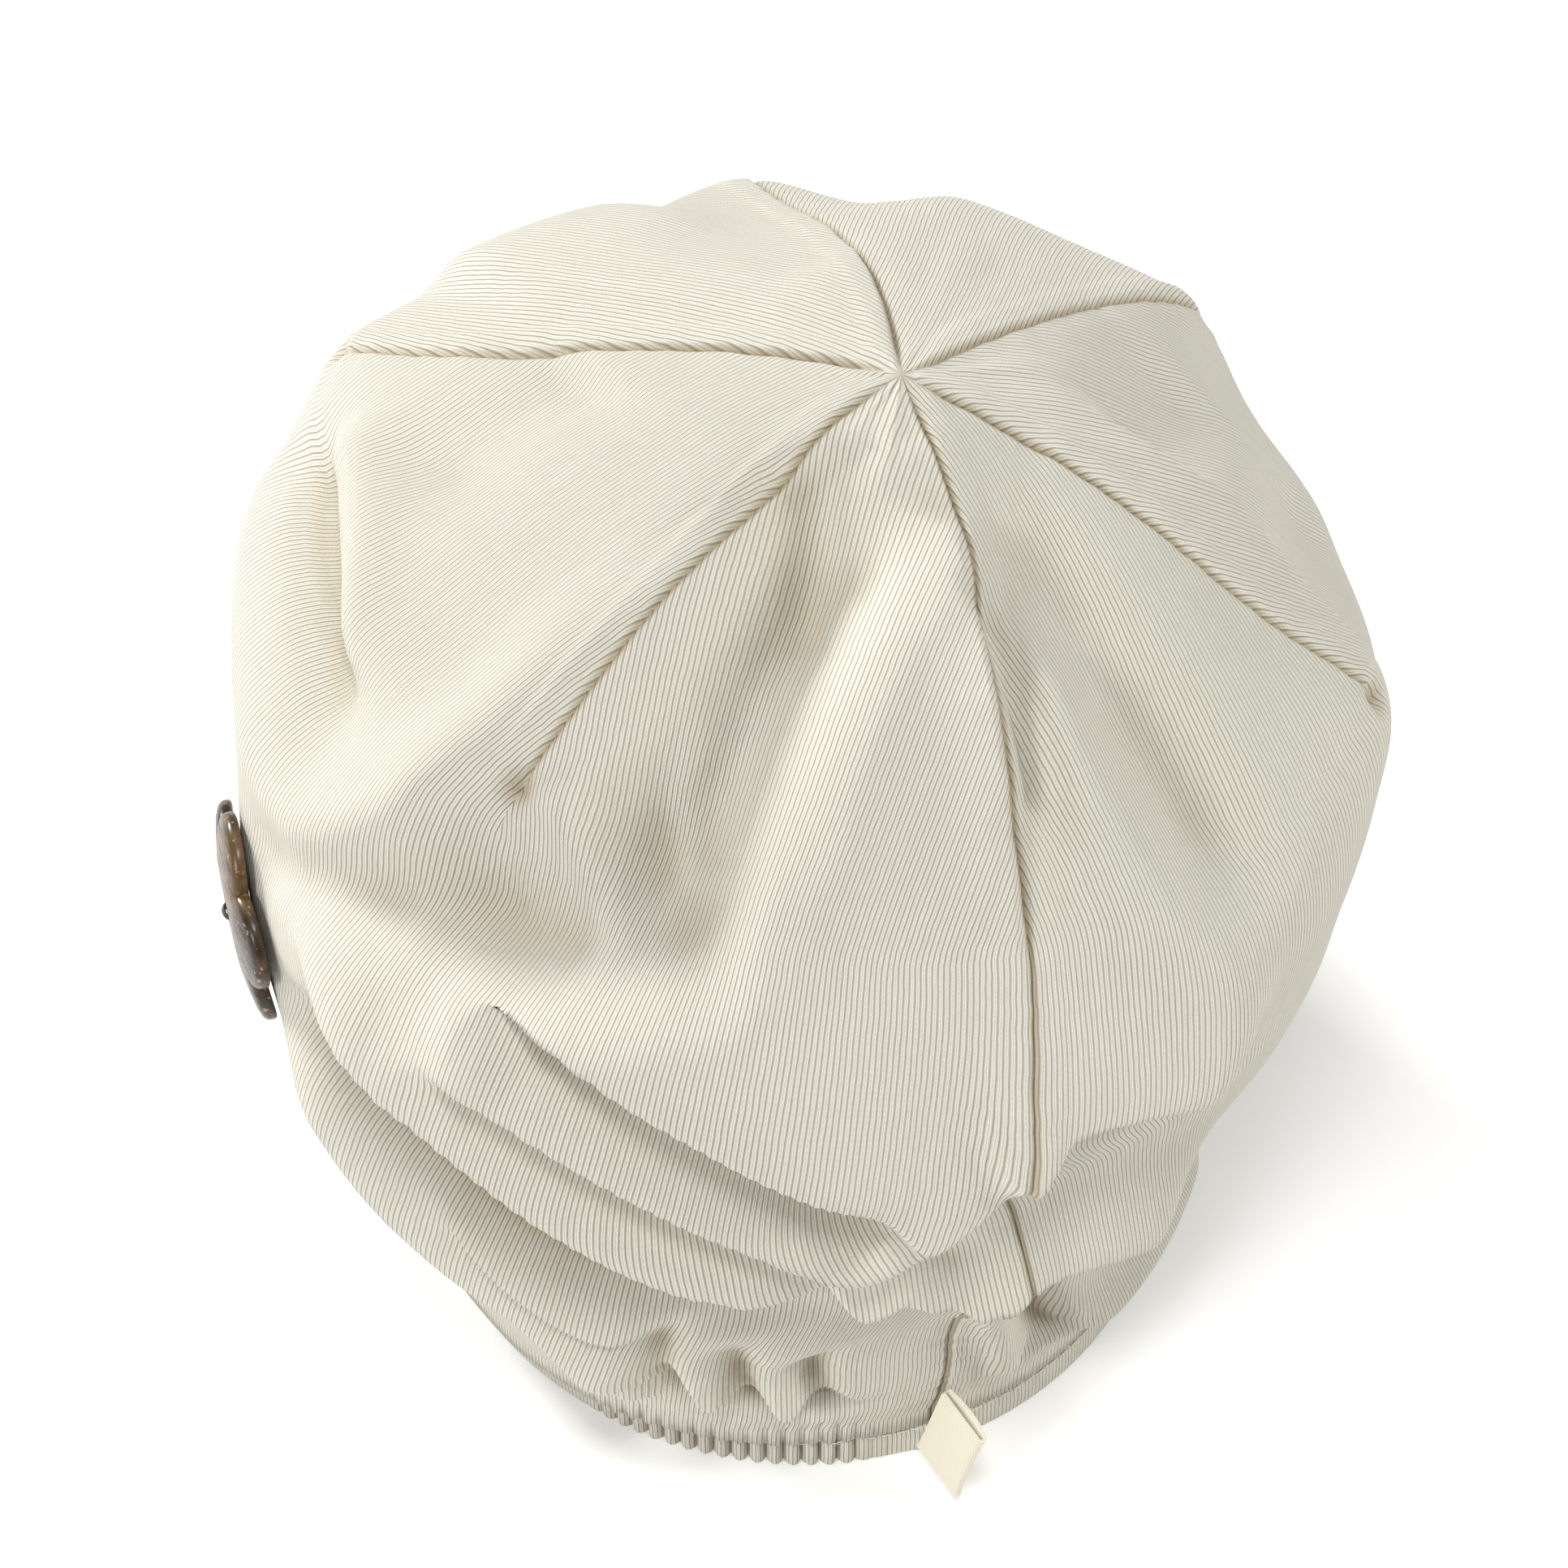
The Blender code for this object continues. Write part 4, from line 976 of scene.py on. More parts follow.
def flower_seat(surface):
    """The flower's place: its centre on the cloth, its outward axis and two directions across it."""
    bearing = np.array([float(FLOWER_BEARING)])
    up = np.array([FLOWER_UP])
    axis = Vector(form_normal(bearing, up)[0])
    across = axis.cross(Vector((0, 0, 1))).normalized()
    upward = across.cross(axis).normalized()
    offsets = []
    for share in np.linspace(0, 1, 9):
        for angle in np.radians(np.arange(0, 360, 15)):
            place = (across * math.cos(angle) + upward * math.sin(angle)) * FLOWER_RADIUS * share
            offsets.append(place - axis * flower_bend(share))
    place = Vector(form(bearing, up)[0]) + Vector(hat_shift())
    return seated(surface, place, axis, offsets), axis, across, upward


def flower_bend(share):
    """How far the flower bends back towards the cloth, at a share of its radius."""
    return FLOWER_BEND * max(0, share**2 - FLOWER_FLAT)


def petal_reach(angle):
    """The flower's outline: round petals with a notch between each two."""
    lobe = abs(math.cos(FLOWER_PETALS * (angle - math.radians(FLOWER_ROLL)) / 2))
    return FLOWER_RADIUS * (1 - PETAL_NOTCH * (1 - lobe**0.8))


def lofted(name, rings):
    """An object whose closed mesh joins rings of points and caps the first and the last."""
    bm = bmesh.new()
    rows = [[bm.verts.new(point) for point in ring] for ring in rings]
    for low, high in zip(rows, rows[1:]):
        for j in range(len(low)):
            k = (j + 1) % len(low)
            bm.faces.new((low[j], low[k], high[k], high[j]))
    bm.faces.new(rows[0])
    bm.faces.new(rows[-1])
    bmesh.ops.recalc_face_normals(bm, faces=bm.faces)
    mesh = bpy.data.meshes.new(name)
    bm.to_mesh(mesh)
    bm.free()
    return linked(name, mesh)


def flower_mesh(seat):
    """The flower button: a flat back, a bevelled rim and a low domed face, with two countersunk holes."""
    centre, axis, across, upward = seat
    rings = []
    for share, level in FLOWER_SECTION:
        ring = []
        for angle in math.tau * np.arange(FLOWER_COLUMNS) / FLOWER_COLUMNS:
            r = share * petal_reach(angle)
            dome = FLOWER_DOME * (1 - share**2) if level == 1.0 else 0.0
            bend = flower_bend(r / FLOWER_RADIUS)
            place = across * (r * math.cos(angle)) + upward * (r * math.sin(angle))
            ring.append(centre + place + axis * (FLOWER_WALL * level + dome - bend))
        rings.append(ring)
    blank = lofted("flower_blank", rings)
    cutters = [hole_cutter(seat, side) for side in (-1, 1)]
    for cutter in cutters:
        cut = blank.modifiers.new("sewing_hole", "BOOLEAN")
        cut.object = cutter
        cut.operation = "DIFFERENCE"
        cut.solver = "EXACT"
    mesh = as_plain_mesh(blank, "flower_button")
    for cutter in cutters:
        bpy.data.objects.remove(cutter, do_unlink=True)
    crisp(mesh, FLOWER_EDGE)
    return mesh


def hole_cutter(seat, side):
    """A round drill with a countersink at the flower's face."""
    centre, axis, across, upward = seat
    middle = centre + across * (side * HOLE_SPREAD / 2)
    face = FLOWER_WALL + FLOWER_DOME
    rings = []
    for radius, level in HOLE_SECTION:
        ring = []
        for angle in math.tau * np.arange(HOLE_COLUMNS) / HOLE_COLUMNS:
            place = (across * math.cos(angle) + upward * math.sin(angle)) * (HOLE_RADIUS * radius)
            ring.append(middle + place + axis * (face * level))
        rings.append(ring)
    return lofted("drill", rings)


def as_plain_mesh(piece, name):
    """What a piece and its modifiers come to, as one mesh. The piece itself is let go."""
    bpy.context.view_layer.update()
    depsgraph = bpy.context.evaluated_depsgraph_get()
    mesh = bpy.data.meshes.new_from_object(piece.evaluated_get(depsgraph))
    mesh.name = name
    bpy.data.objects.remove(piece, do_unlink=True)
    return mesh


def thread_mesh(seat):
    """The sewing thread: a few turns side by side through the flower's two holes."""
    centre, axis, across, upward = seat
    half = HOLE_SPREAD / 2
    foot = THREAD_RADIUS / 2
    shoulder = FLOWER_WALL + FLOWER_DOME + THREAD_RADIUS * 0.6 - THREAD_RISE
    curve = bpy.data.curves.new("thread_turns", "CURVE")
    curve.dimensions = "3D"
    curve.bevel_depth = THREAD_RADIUS * THREAD_STRAND
    curve.bevel_resolution = 2
    curve.use_fill_caps = True
    for beside, rise in THREAD_TURNS:
        points = [(-half, foot, 0.4), (-half, shoulder * 0.6, 0.6)]
        for angle in np.radians(np.linspace(180, 0, 13)):
            level = shoulder + THREAD_RISE * math.sin(angle) + THREAD_RADIUS * rise * math.sin(angle)
            points.append((half * math.cos(angle), level, 0.7 + 0.3 * math.sin(angle)))
        points += [(half, shoulder * 0.6, 0.6), (half, foot, 0.4)]
        line = curve.splines.new("POLY")
        line.points.add(len(points) - 1)
        for point, (aside, level, spread) in zip(line.points, points):
            place = centre + across * aside + axis * level + upward * (beside * spread * THREAD_RADIUS)
            point.co = (*place, 1)
    mesh = as_plain_mesh(linked("thread_turns", curve), "button_thread")
    facing_out(mesh)
    return mesh


def stitch_tree(material):
    """A Geometry Nodes tree that lays short stitches along a path, all made real in one material."""
    tree = bpy.data.node_groups.new("stitch row", "GeometryNodeTree")
    tree.interface.new_socket("Path", in_out="INPUT", socket_type="NodeSocketGeometry")
    for name, value in (("Pitch", 0.003), ("Length", 0.0022), ("Thickness", 0.00032)):
        socket = tree.interface.new_socket(name, in_out="INPUT", socket_type="NodeSocketFloat")
        socket.default_value = value
        socket.subtype = "DISTANCE"
    tree.interface.new_socket("Stitches", in_out="OUTPUT", socket_type="NodeSocketGeometry")
    kinds = {"given": "NodeGroupInput", "line": "GeometryNodeMeshToCurve",
             "spaced": "GeometryNodeResampleCurve", "bead": "GeometryNodeMeshUVSphere",
             "placed": "GeometryNodeInstanceOnPoints",
             "tangent": "GeometryNodeInputTangent", "turn": "FunctionNodeAlignRotationToVector",
             "size": "ShaderNodeCombineXYZ", "real": "GeometryNodeRealizeInstances",
             "soft": "GeometryNodeSetShadeSmooth", "dressed": "GeometryNodeSetMaterial",
             "result": "NodeGroupOutput"}
    nodes = {name: tree.nodes.new(kind) for name, kind in kinds.items()}
    nodes["spaced"].mode = "LENGTH"
    nodes["turn"].axis = "Z"
    wired(tree, nodes["bead"], {"Segments": 6, "Rings": 5, "Radius": 0.5})
    wired(tree, nodes["dressed"], {"Material": material})
    for source, output, target, entry in (
            ("given", "Path", "line", "Mesh"), ("line", "Curve", "spaced", "Curve"),
            ("given", "Pitch", "spaced", "Length"), ("spaced", "Curve", "placed", "Points"),
            ("bead", "Mesh", "placed", "Instance"), ("tangent", "Tangent", "turn", "Vector"),
            ("turn", "Rotation", "placed", "Rotation"), ("given", "Thickness", "size", "X"),
            ("given", "Thickness", "size", "Y"), ("given", "Length", "size", "Z"),
            ("size", "Vector", "placed", "Scale"), ("placed", "Instances", "real", "Geometry"),
            ("real", "Geometry", "soft", "Geometry"), ("soft", "Geometry", "dressed", "Geometry"),
            ("dressed", "Geometry", "result", "Stitches")):
        tree.links.new(nodes[source].outputs[output], nodes[target].inputs[entry])
    return tree


def hem_stitch_path():
    """The line of the hem's stitches: round the top of the hem band, in the dip below the crown."""
    bearing = band_bearings(3, 2)
    outline, inward = hem_outline(bearing)
    flat = outline + inward * (STITCH_INSET * BAND_WALL)
    points = np.column_stack([flat, np.full(len(flat), BAND_HEIGHT * STITCH_UP)]) + hat_shift()
    count = len(points)
    mesh = bpy.data.meshes.new("hem_stitch_path")
    mesh.from_pydata(points.tolist(), [(j, (j + 1) % count) for j in range(count)], [])
    return mesh


def calc(tree, operation, *values):
    """One Math node; each value is a socket or a number."""
    node = tree.nodes.new("ShaderNodeMath")
    node.operation = operation
    for socket, value in zip(node.inputs, values):
        feed(tree, socket, value)
    return node.outputs[0]


def feed(tree, socket, value):
    """Links a socket to another or gives it a plain value, a colour without its alpha."""
    if isinstance(value, bpy.types.NodeSocket):
        tree.links.new(value, socket)
    elif socket.type == "RGBA":
        socket.default_value = (*value, 1)
    else:
        socket.default_value = value


def wired(tree, node, inputs):
    """Feeds the named inputs of a node."""
    for name, value in inputs.items():
        feed(tree, node.inputs[name], value)
    return node


def stepped(tree, value, low, high):
    """A soft step from 0 at low to 1 at high."""
    node = tree.nodes.new("ShaderNodeMapRange")
    node.interpolation_type = "SMOOTHSTEP"
    return wired(tree, node, {"Value": value, "From Min": low, "From Max": high}).outputs["Result"]


def blended(tree, share, first, second, mode="MIX"):
    """A colour between two others."""
    node = tree.nodes.new("ShaderNodeMix")
    node.data_type = "RGBA"
    node.blend_type = mode
    feed(tree, node.inputs[0], share)
    feed(tree, node.inputs[6], first)
    feed(tree, node.inputs[7], second)
    return node.outputs[2]


def scaled_vector(tree, vector, scale):
    """A vector times a scale for each of its axes."""
    node = tree.nodes.new("ShaderNodeVectorMath")
    node.operation = "MULTIPLY"
    tree.links.new(vector, node.inputs[0])
    node.inputs[1].default_value = scale
    return node.outputs[0]


def noise(tree, vector, scale, detail=2.0):
    """Cloudy noise, usually between 0.3 and 0.7."""
    node = tree.nodes.new("ShaderNodeTexNoise")
    return wired(tree, node, {"Vector": vector, "Scale": scale, "Detail": detail}).outputs["Fac"]


def axes_of(tree, vector):
    """A vector's three parts."""
    node = tree.nodes.new("ShaderNodeSeparateXYZ")
    tree.links.new(vector, node.inputs[0])
    return node.outputs


def rounded(tree, share, power):
    """A swell across a share from 0 to 1: 0 at both ends and 1 in the middle."""
    offset = calc(tree, "SUBTRACT", calc(tree, "MULTIPLY", share, 2.0), 1.0)
    swell = calc(tree, "SUBTRACT", 1.0, calc(tree, "MULTIPLY", offset, offset))
    return calc(tree, "POWER", calc(tree, "MAXIMUM", swell, 0.0), power)


def from_middle(tree, share):
    """0 in the middle of a share from 0 to 1, and 1 at both its ends."""
    return calc(tree, "MULTIPLY", calc(tree, "ABSOLUTE", calc(tree, "SUBTRACT", share, 0.5)), 2.0)


def shader_group(name, inputs, outputs):
    """An empty shader node group with named float or vector inputs and float outputs."""
    group = bpy.data.node_groups.new(name, "ShaderNodeTree")
    for label, kind, value in inputs:
        socket = group.interface.new_socket(label, in_out="INPUT", socket_type=kind)
        if value is not None:
            socket.default_value = value
    for label in outputs:
        group.interface.new_socket(label, in_out="OUTPUT", socket_type="NodeSocketFloat")
    return group, group.nodes.new("NodeGroupInput"), group.nodes.new("NodeGroupOutput")


def knit_group():
    """Plain jersey: columns of V stitches with painted shade in the gaps between them, on flat places in
    metres.
    """
    group, given, result = shader_group(
        "jersey knit",
        (("Flat place", "NodeSocketVector", None), ("Wale pitch", "NodeSocketFloat", 0.00095),
         ("Course pitch", "NodeSocketFloat", 0.0007), ("Unevenness", "NodeSocketFloat", 0.00012)),
        ("Height", "Gap", "Streak"))
    place = given.outputs["Flat place"]
    wander = calc(group, "SUBTRACT", noise(group, place, 260.0, detail=1.0), 0.5)
    offset = calc(group, "MULTIPLY", wander, given.outputs["Unevenness"])
    across = calc(group, "ADD", axes_of(group, place)["X"], offset)
    along = calc(group, "ADD", axes_of(group, place)["Y"], offset)
    wale = calc(group, "DIVIDE", across, given.outputs["Wale pitch"])
    course = calc(group, "DIVIDE", along, given.outputs["Course pitch"])
    in_wale = from_middle(group, calc(group, "FRACT", wale))
    climb = calc(group, "ADD", course, calc(group, "MULTIPLY", in_wale, LEG_SLANT))
    leg = rounded(group, in_wale, 0.6)
    end = rounded(group, calc(group, "FRACT", climb), 0.5)
    stitch = calc(group, "MULTIPLY", leg, calc(group, "ADD", calc(group, "MULTIPLY", end, 0.6), 0.4))
    cord = calc(group, "SUBTRACT", 1.0, calc(group, "POWER", in_wale, 3.0))
    height = calc(group, "ADD", calc(group, "MULTIPLY", cord, CORD_SHARE),
                  calc(group, "MULTIPLY", stitch, 1 - CORD_SHARE))
    between_wales = calc(group, "MULTIPLY", stepped(group, in_wale, *WALE_GAP), WALE_GAP_SHADE)
    between_stitches = calc(group, "SUBTRACT", 1.0, stepped(group, stitch, *STITCH_GAP))
    gap = calc(group, "MAXIMUM", between_wales, calc(group, "MULTIPLY", between_stitches, STITCH_GAP_SHADE))
    streak = noise(group, scaled_vector(group, place, STREAK_SCALE), 1.0)
    wired(group, result, {"Height": height, "Gap": gap, "Streak": streak})
    return group


def material_of(name):
    """A new material, its tree and its shader."""
    material = bpy.data.materials.new(name)
    material.use_nodes = True
    tree = material.node_tree
    return material, tree, tree.nodes["Principled BSDF"]


def raised(tree, height, distance, strength, under=None):
    """A Bump node's normal."""
    node = tree.nodes.new("ShaderNodeBump")
    wired(tree, node, {"Height": height, "Distance": distance, "Strength": strength})
    if under is not None:
        tree.links.new(under, node.inputs["Normal"])
    return node.outputs["Normal"]


def uv_of(tree, name):
    node = tree.nodes.new("ShaderNodeUVMap")
    node.uv_map = name
    return node.outputs["UV"]


def object_place(tree):
    return tree.nodes.new("ShaderNodeTexCoord").outputs["Object"]


def jersey_material(cloth_sizes, knit):
    """Cream jersey: knit stitches, uneven yarn, warm shade in its hollows and seams, and a soft fuzz."""
    material, tree, shader = material_of("cream jersey")
    group = tree.nodes.new("ShaderNodeGroup")
    group.node_tree = knit
    wired(tree, group, {"Flat place": uv_of(tree, "cloth"), "Wale pitch": cloth_sizes.wale_pitch,
                        "Course pitch": cloth_sizes.course_pitch, "Unevenness": cloth_sizes.unevenness})
    # Painted shade: the crease attribute darkens the knit towards the warm hollow colour in hollows, seams,
    # pits, the inside and between the hem's pleats
    crease = tree.nodes.new("ShaderNodeAttribute")
    crease.attribute_name = "crease"
    streak = stepped(tree, group.outputs["Streak"], 0.3, 0.7)
    mottle = stepped(tree, noise(tree, object_place(tree), 28.0, detail=3.0), 0.3, 0.7)
    yarn = cloth_sizes.yarn
    for mask, share in ((streak, STREAK_SHARE), (mottle, MOTTLE_SHARE)):
        yarn = blended(tree, calc(tree, "MULTIPLY", mask, share), yarn, cloth_sizes.yarn_deep)
    # Painted shade in the gaps between the stitches
    gap = calc(tree, "MULTIPLY", group.outputs["Gap"], cloth_sizes.gap_shade_share)
    knitted = blended(tree, gap, yarn, cloth_sizes.gap)
    shade = calc(tree, "MULTIPLY", crease.outputs["Fac"], HOLLOW_SHARE)
    fuzz = raised(tree, noise(tree, object_place(tree), 2600.0), 0.00005, 0.5)
    wired(tree, shader, {
        "Base Color": blended(tree, shade, knitted, cloth_sizes.hollow, mode="MULTIPLY"),
        "Normal": raised(tree, group.outputs["Height"], 0.0003, 0.9, fuzz),
        "Roughness": 0.92, "Specular IOR Level": 0.2,
        "Sheen Weight": 0.25, "Sheen Roughness": 0.5, "Sheen Tint": (1.0, 0.97, 0.90)})
    return material


def ribbon_material(trim):
    """Pale twill ribbon: fine slanting ribs on its own flat places, with painted shade between them."""
    material, tree, shader = material_of("pale ribbon")
    place = axes_of(tree, uv_of(tree, "cloth"))
    warp = calc(tree, "DIVIDE", place["X"], trim.weave_pitch)
    weft = calc(tree, "DIVIDE", place["Y"], trim.weave_pitch)
    slant = calc(tree, "FRACT", calc(tree, "ADD", warp, calc(tree, "MULTIPLY", weft, 0.5)))
    rib = calc(tree, "SUBTRACT", 1.0, from_middle(tree, slant))
    pick = calc(tree, "SINE", calc(tree, "MULTIPLY", weft, math.tau))
    height = calc(tree, "ADD", calc(tree, "MULTIPLY", rib, 0.7), calc(tree, "MULTIPLY", pick, 0.15))
    # Painted shade: darker where the ribs dip
    wired(tree, shader, {
        "Base Color": blended(tree, stepped(tree, height, 0.0, 0.6), trim.ribbon_rib_shade, trim.ribbon),
        "Normal": raised(tree, height, 0.0001, 0.6),
        "Roughness": 0.75, "Sheen Weight": 0.15, "Sheen Roughness": 0.4})
    return material


def shell_material(trim):
    """Polished coconut shell: dark brown with a golden patch, fine fibres and pale specks."""
    material, tree, shader = material_of("polished coconut shell")
    place = object_place(tree)
    cloud = stepped(tree, noise(tree, place, 70.0, detail=3.0), 0.42, 0.66)
    fibre = stepped(tree, noise(tree, scaled_vector(tree, place, (900.0, 160.0, 900.0)), 1.0), 0.45, 0.75)
    speck = stepped(tree, noise(tree, place, 900.0, detail=1.0), 0.66, 0.74)
    colour = trim.shell
    for mask, share, other in ((cloud, 0.5, trim.shell_gold), (fibre, 0.45, trim.shell_dark),
                               (speck, 0.8, trim.shell_speck)):
        colour = blended(tree, calc(tree, "MULTIPLY", mask, share), colour, other)
    wired(tree, shader, {
        "Base Color": colour,
        "Normal": raised(tree, fibre, 0.00006, 0.4),
        "Roughness": calc(tree, "ADD", 0.34, calc(tree, "MULTIPLY", fibre, 0.2)),
        "Specular IOR Level": 0.35, "Coat Weight": 0.15, "Coat Roughness": 0.12})
    return material


def thread_material(name, colour, deep):
    """Twisted sewing thread."""
    material, tree, shader = material_of(name)
    ply = noise(tree, scaled_vector(tree, object_place(tree), (3000.0, 3000.0, 1200.0)), 1.0, detail=1.0)
    wired(tree, shader, {
        "Base Color": blended(tree, stepped(tree, ply, 0.35, 0.65), deep, colour),
        "Normal": raised(tree, ply, 0.00006, 0.6),
        "Roughness": 0.7, "Sheen Weight": 0.2})
    return material


def colour_of(label, description, value):
    return bpy.props.FloatVectorProperty(name=label, description=description, subtype="COLOR", size=3,
                                         min=0, max=1, default=value)


def length_of(label, description, value):
    return bpy.props.FloatProperty(name=label, description=description, subtype="DISTANCE", unit="LENGTH",
                                   min=0, default=value)


class BeanieCloth(bpy.types.PropertyGroup):
    """The jersey's sizes and colours."""
    wale_pitch: length_of("Wale pitch", "Width of one column of stitches", 0.00090)
    course_pitch: length_of("Course pitch", "Height of one row of stitches", 0.00070)
    unevenness: length_of("Unevenness", "How far the stitches wander", 0.0003)
    wave_lift: length_of("Wave lift", "Height of the limp cloth's small waves", 0.0007)
    pucker_lift: length_of("Pucker lift", "Height of the puckers beside the seams", 0.00022)
    pucker_pitch: length_of("Pucker pitch", "Distance between two puckers", 0.0062)
    gap_shade_share: bpy.props.FloatProperty(name="Gap share", description="Strength of the dark gaps",
                                       default=0.85, min=0, max=1, subtype="FACTOR")
    yarn: colour_of("Yarn", "The yarn's own cream", (0.85, 0.82, 0.725))
    yarn_deep: colour_of("Deep yarn", "The yarn's darker streaks", (0.76, 0.73, 0.63))
    # Colour of the painted shade in the gaps between the stitches
    gap: colour_of("Gap", "The dark between the stitches", (0.42, 0.385, 0.295))
    # Colour of the painted shade in hollows and seams
    hollow: colour_of("Hollow", "The warm shade in hollows and seams", (0.54, 0.45, 0.30))


class BeanieTrim(bpy.types.PropertyGroup):
    """The trims' sizes and colours."""
    stitch_pitch: length_of("Stitch pitch", "Distance between the hem's stitches", 0.0031)
    stitch_length: length_of("Stitch length", "Length of one stitch", 0.0023)
    stitch_thickness: length_of("Stitch thickness", "Thickness of the sewing thread", 0.00036)
    weave_pitch: length_of("Weave pitch", "Distance between the ribbon's ribs", 0.00055)
    ribbon: colour_of("Ribbon", "The ribbon's cream", (0.93, 0.88, 0.74))
    # Colour of the painted shade between the ribbon's ribs
    ribbon_rib_shade: colour_of("Deep ribbon", "The ribbon between its ribs", (0.80, 0.73, 0.57))
    shell: colour_of("Shell", "The flower's brown", (0.030, 0.017, 0.009))
    shell_dark: colour_of("Dark shell", "The flower's fibres", (0.010, 0.007, 0.005))
    shell_gold: colour_of("Golden shell", "The flower's lighter patches", (0.20, 0.11, 0.035))
    shell_speck: colour_of("Shell specks", "The flower's pale specks", (0.42, 0.27, 0.12))
    thread: colour_of("Button thread", "The thread that holds the flower", (0.10, 0.06, 0.04))


class BeanieStage(bpy.types.PropertyGroup):
    """The stage's light and floor."""
    light: bpy.props.FloatProperty(name="Light", description="Strength of all lamps together", default=1.0,
                                   min=0, max=10)
    sky: bpy.props.FloatProperty(name="Sky", description="Strength of the even light all round", default=0.02,
                                 min=0, max=10)
    floor: colour_of("Floor", "The floor's pale colour", (0.88, 0.88, 0.87))


def jersey(context):
    """The cloth's material, made once."""
    found = bpy.data.materials.get("cream jersey")
    return found or jersey_material(context.scene.beanie_cloth, knit_group())


class BEANIE_OT_crown(bpy.types.Operator):
    """Make the knitted crown with its darts, back seam and slouch folds"""
    bl_idname = "beanie.crown"
    bl_label = "Crown"

    def execute(self, context):
        mesh = crown_mesh(context.scene.beanie_cloth)
        new_piece("beanie_crown", mesh, [jersey(context)], "crown_cloth")
        return {"FINISHED"}


class BEANIE_OT_hem(bpy.types.Operator):
    """Make the gathered hem band"""
    bl_idname = "beanie.hem"
    bl_label = "Hem band"

    def execute(self, context):
        new_piece("beanie_hem", band_mesh(), [jersey(context)], "hem_band")
        return {"FINISHED"}


class BEANIE_OT_stitches(bpy.types.Operator):
    """Sew the row of stitches between the crown and the hem band"""
    bl_idname = "beanie.stitches"
    bl_label = "Hem stitches"

    def execute(self, context):
        trim = context.scene.beanie_trim
        cloth_sizes = context.scene.beanie_cloth
        thread = thread_material("cream thread", cloth_sizes.yarn, cloth_sizes.yarn_deep)
        path = linked("stitch_path", hem_stitch_path())
        row = path.modifiers.new("stitches", "NODES")
        row.node_group = stitch_tree(thread)
        sizes = {"Pitch": trim.stitch_pitch, "Length": trim.stitch_length, "Thickness": trim.stitch_thickness}
        for socket in row.node_group.interface.items_tree:
            if socket.in_out == "INPUT" and socket.name in sizes:
                row[socket.identifier] = sizes[socket.name]
        new_piece("beanie_hem_stitches", as_plain_mesh(path, "hem_stitches"), [], None)
        return {"FINISHED"}


class BEANIE_OT_label(bpy.types.Operator):
    """Sew the folded ribbon label into the back seam"""
    bl_idname = "beanie.label"
    bl_label = "Ribbon label"

    def execute(self, context):
        material = ribbon_material(context.scene.beanie_trim)
        new_piece("beanie_label", label_mesh(cloth_surface()), [material], "ribbon_label")
        return {"FINISHED"}


class BEANIE_OT_flower(bpy.types.Operator):
    """Make the flower button and the thread that holds it"""
    bl_idname = "beanie.flower"
    bl_label = "Flower button"

    def execute(self, context):
        trim = context.scene.beanie_trim
        seat = flower_seat(cloth_surface())
        shell = shell_material(trim)
        new_piece("beanie_flower", flower_mesh(seat), [shell], "flower_button")
        dark = tuple(channel * 0.4 for channel in trim.thread)
        thread = thread_material("button thread", trim.thread, dark)
        new_piece("beanie_thread", thread_mesh(seat), [thread], "button_thread")
        return {"FINISHED"}


class BEANIE_OT_stage(bpy.types.Operator):
    """Set the plain floor, the soft lights and the camera"""
    bl_idname = "beanie.stage"
    bl_label = "Stage"

    def execute(self, context):
        scene = context.scene
        stage = scene.beanie_stage
        add_floor(stage)
        for lamp in table_rows(LIGHT_COLUMNS, LIGHTS):
            add_lamp(lamp, stage.light)
        add_sky(scene, stage.sky)
        add_camera(scene)
        scene.view_settings.view_transform = "Standard"
        return {"FINISHED"}


def add_floor(stage):
    """The plain pale floor. It glows a little, so that it stays as white as the photo's."""
    mesh = bpy.data.meshes.new("stage_floor")
    corners = [(x * FLOOR_REACH, y * FLOOR_REACH, 0) for x, y in ((-1, -1), (1, -1), (1, 1), (-1, 1))]
    mesh.from_pydata(corners, [], [(0, 1, 2, 3)])
    material, tree, shader = material_of("pale floor")
    grain = stepped(tree, noise(tree, object_place(tree), 5.0), 0.3, 0.7)
    colour = blended(tree, calc(tree, "MULTIPLY", grain, 0.03), stage.floor, (0.8, 0.8, 0.8))
    wired(tree, shader, {"Base Color": colour, "Roughness": 0.6,
                         "Emission Color": (1, 1, 1), "Emission Strength": FLOOR_GLOW})
    mesh.materials.append(material)
    floor = linked("stage_floor", mesh)


def add_lamp(lamp, strength):
    """An area lamp that looks at the camera's own aim."""
    light = bpy.data.lights.new(lamp["name"], "AREA")
    light.size = lamp["size"]
    light.energy = lamp["power"] * strength
    holder = linked(lamp["name"], light)
    holder.location = lamp["place"]
    aim = Vector(CAMERA_AIM) - Vector(lamp["place"])
    holder.rotation_euler = aim.to_track_quat("-Z", "Y").to_euler()


def add_sky(scene, strength):
    """Even white light from all round."""
    world = bpy.data.worlds.new("studio")
    world.use_nodes = True
    wired(world.node_tree, world.node_tree.nodes["Background"], {"Color": (1, 1, 1), "Strength": strength})
    scene.world = world


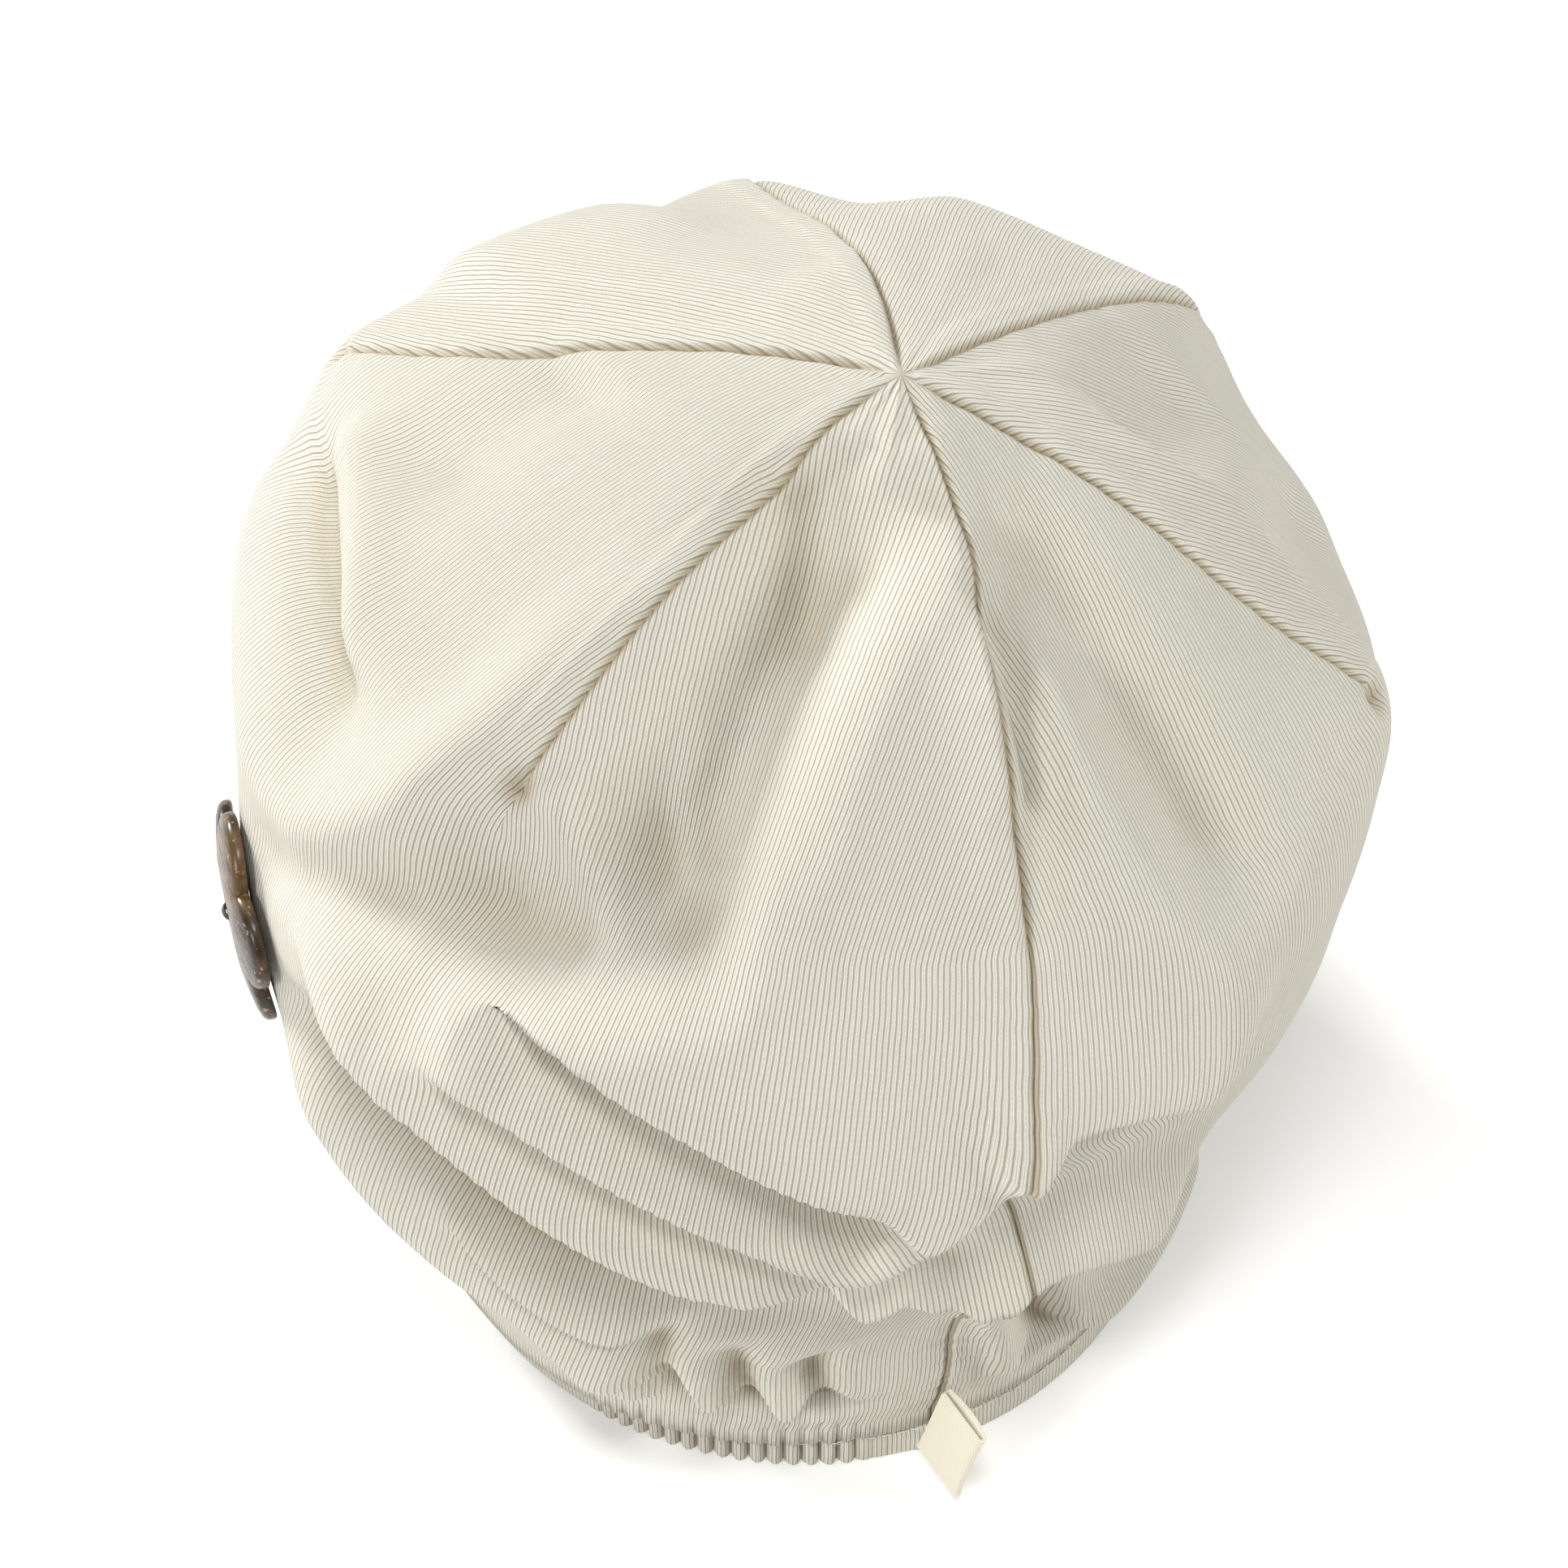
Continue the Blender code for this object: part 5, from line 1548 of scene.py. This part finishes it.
def add_camera(scene):
    """The camera, at its angles and distance from the aim."""
    azimuth = math.radians(CAMERA_AZIMUTH)
    elevation = math.radians(CAMERA_ELEVATION)
    back = Vector((math.sin(azimuth) * math.cos(elevation), -math.cos(azimuth) * math.cos(elevation),
                   math.sin(elevation)))
    camera = bpy.data.cameras.new("camera")
    camera.lens = CAMERA_LENS
    camera.sensor_width = SENSOR
    holder = linked("camera", camera)
    holder.location = Vector(CAMERA_AIM) + Vector(hat_shift()) + back * CAMERA_DISTANCE
    holder.rotation_euler = (-back).to_track_quat("-Z", "Y").to_euler()
    scene.camera = holder


class BEANIE_PT_panel(bpy.types.Panel):
    """The beanie's pieces, sizes and colours"""
    bl_idname = "BEANIE_PT_panel"
    bl_label = "Flower Beanie"
    bl_space_type = "VIEW_3D"
    bl_region_type = "UI"
    bl_category = "Beanie"

    def draw(self, context):
        for group, operators in ((context.scene.beanie_cloth, CLOTH_OPERATORS),
                                 (context.scene.beanie_trim, TRIM_OPERATORS),
                                 (context.scene.beanie_stage, STAGE_OPERATORS)):
            box = self.layout.box()
            for name in group.bl_rna.properties.keys():
                if name not in ("rna_type", "name"):
                    box.prop(group, name)
            for operator in operators:
                box.operator(operator.bl_idname)


CLOTH_OPERATORS = (BEANIE_OT_crown, BEANIE_OT_hem)
TRIM_OPERATORS = (BEANIE_OT_stitches, BEANIE_OT_label, BEANIE_OT_flower)
STAGE_OPERATORS = (BEANIE_OT_stage,)
GROUPS = (("beanie_cloth", BeanieCloth), ("beanie_trim", BeanieTrim), ("beanie_stage", BeanieStage))
CLASSES = (BeanieCloth, BeanieTrim, BeanieStage, *CLOTH_OPERATORS, *TRIM_OPERATORS, *STAGE_OPERATORS,
           BEANIE_PT_panel)


def register():
    for item in CLASSES:
        bpy.utils.register_class(item)
    for name, group in GROUPS:
        setattr(bpy.types.Scene, name, bpy.props.PointerProperty(type=group))


def unregister():
    for name, _ in GROUPS:
        delattr(bpy.types.Scene, name)
    for item in reversed(CLASSES):
        bpy.utils.unregister_class(item)


def main():
    """Makes the whole hat and its stage."""
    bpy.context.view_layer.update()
    register()
    for make in (bpy.ops.beanie.crown, bpy.ops.beanie.hem, bpy.ops.beanie.stitches, bpy.ops.beanie.label,
                 bpy.ops.beanie.flower, bpy.ops.beanie.stage):
        make()


if __name__ == "__main__":
    main()
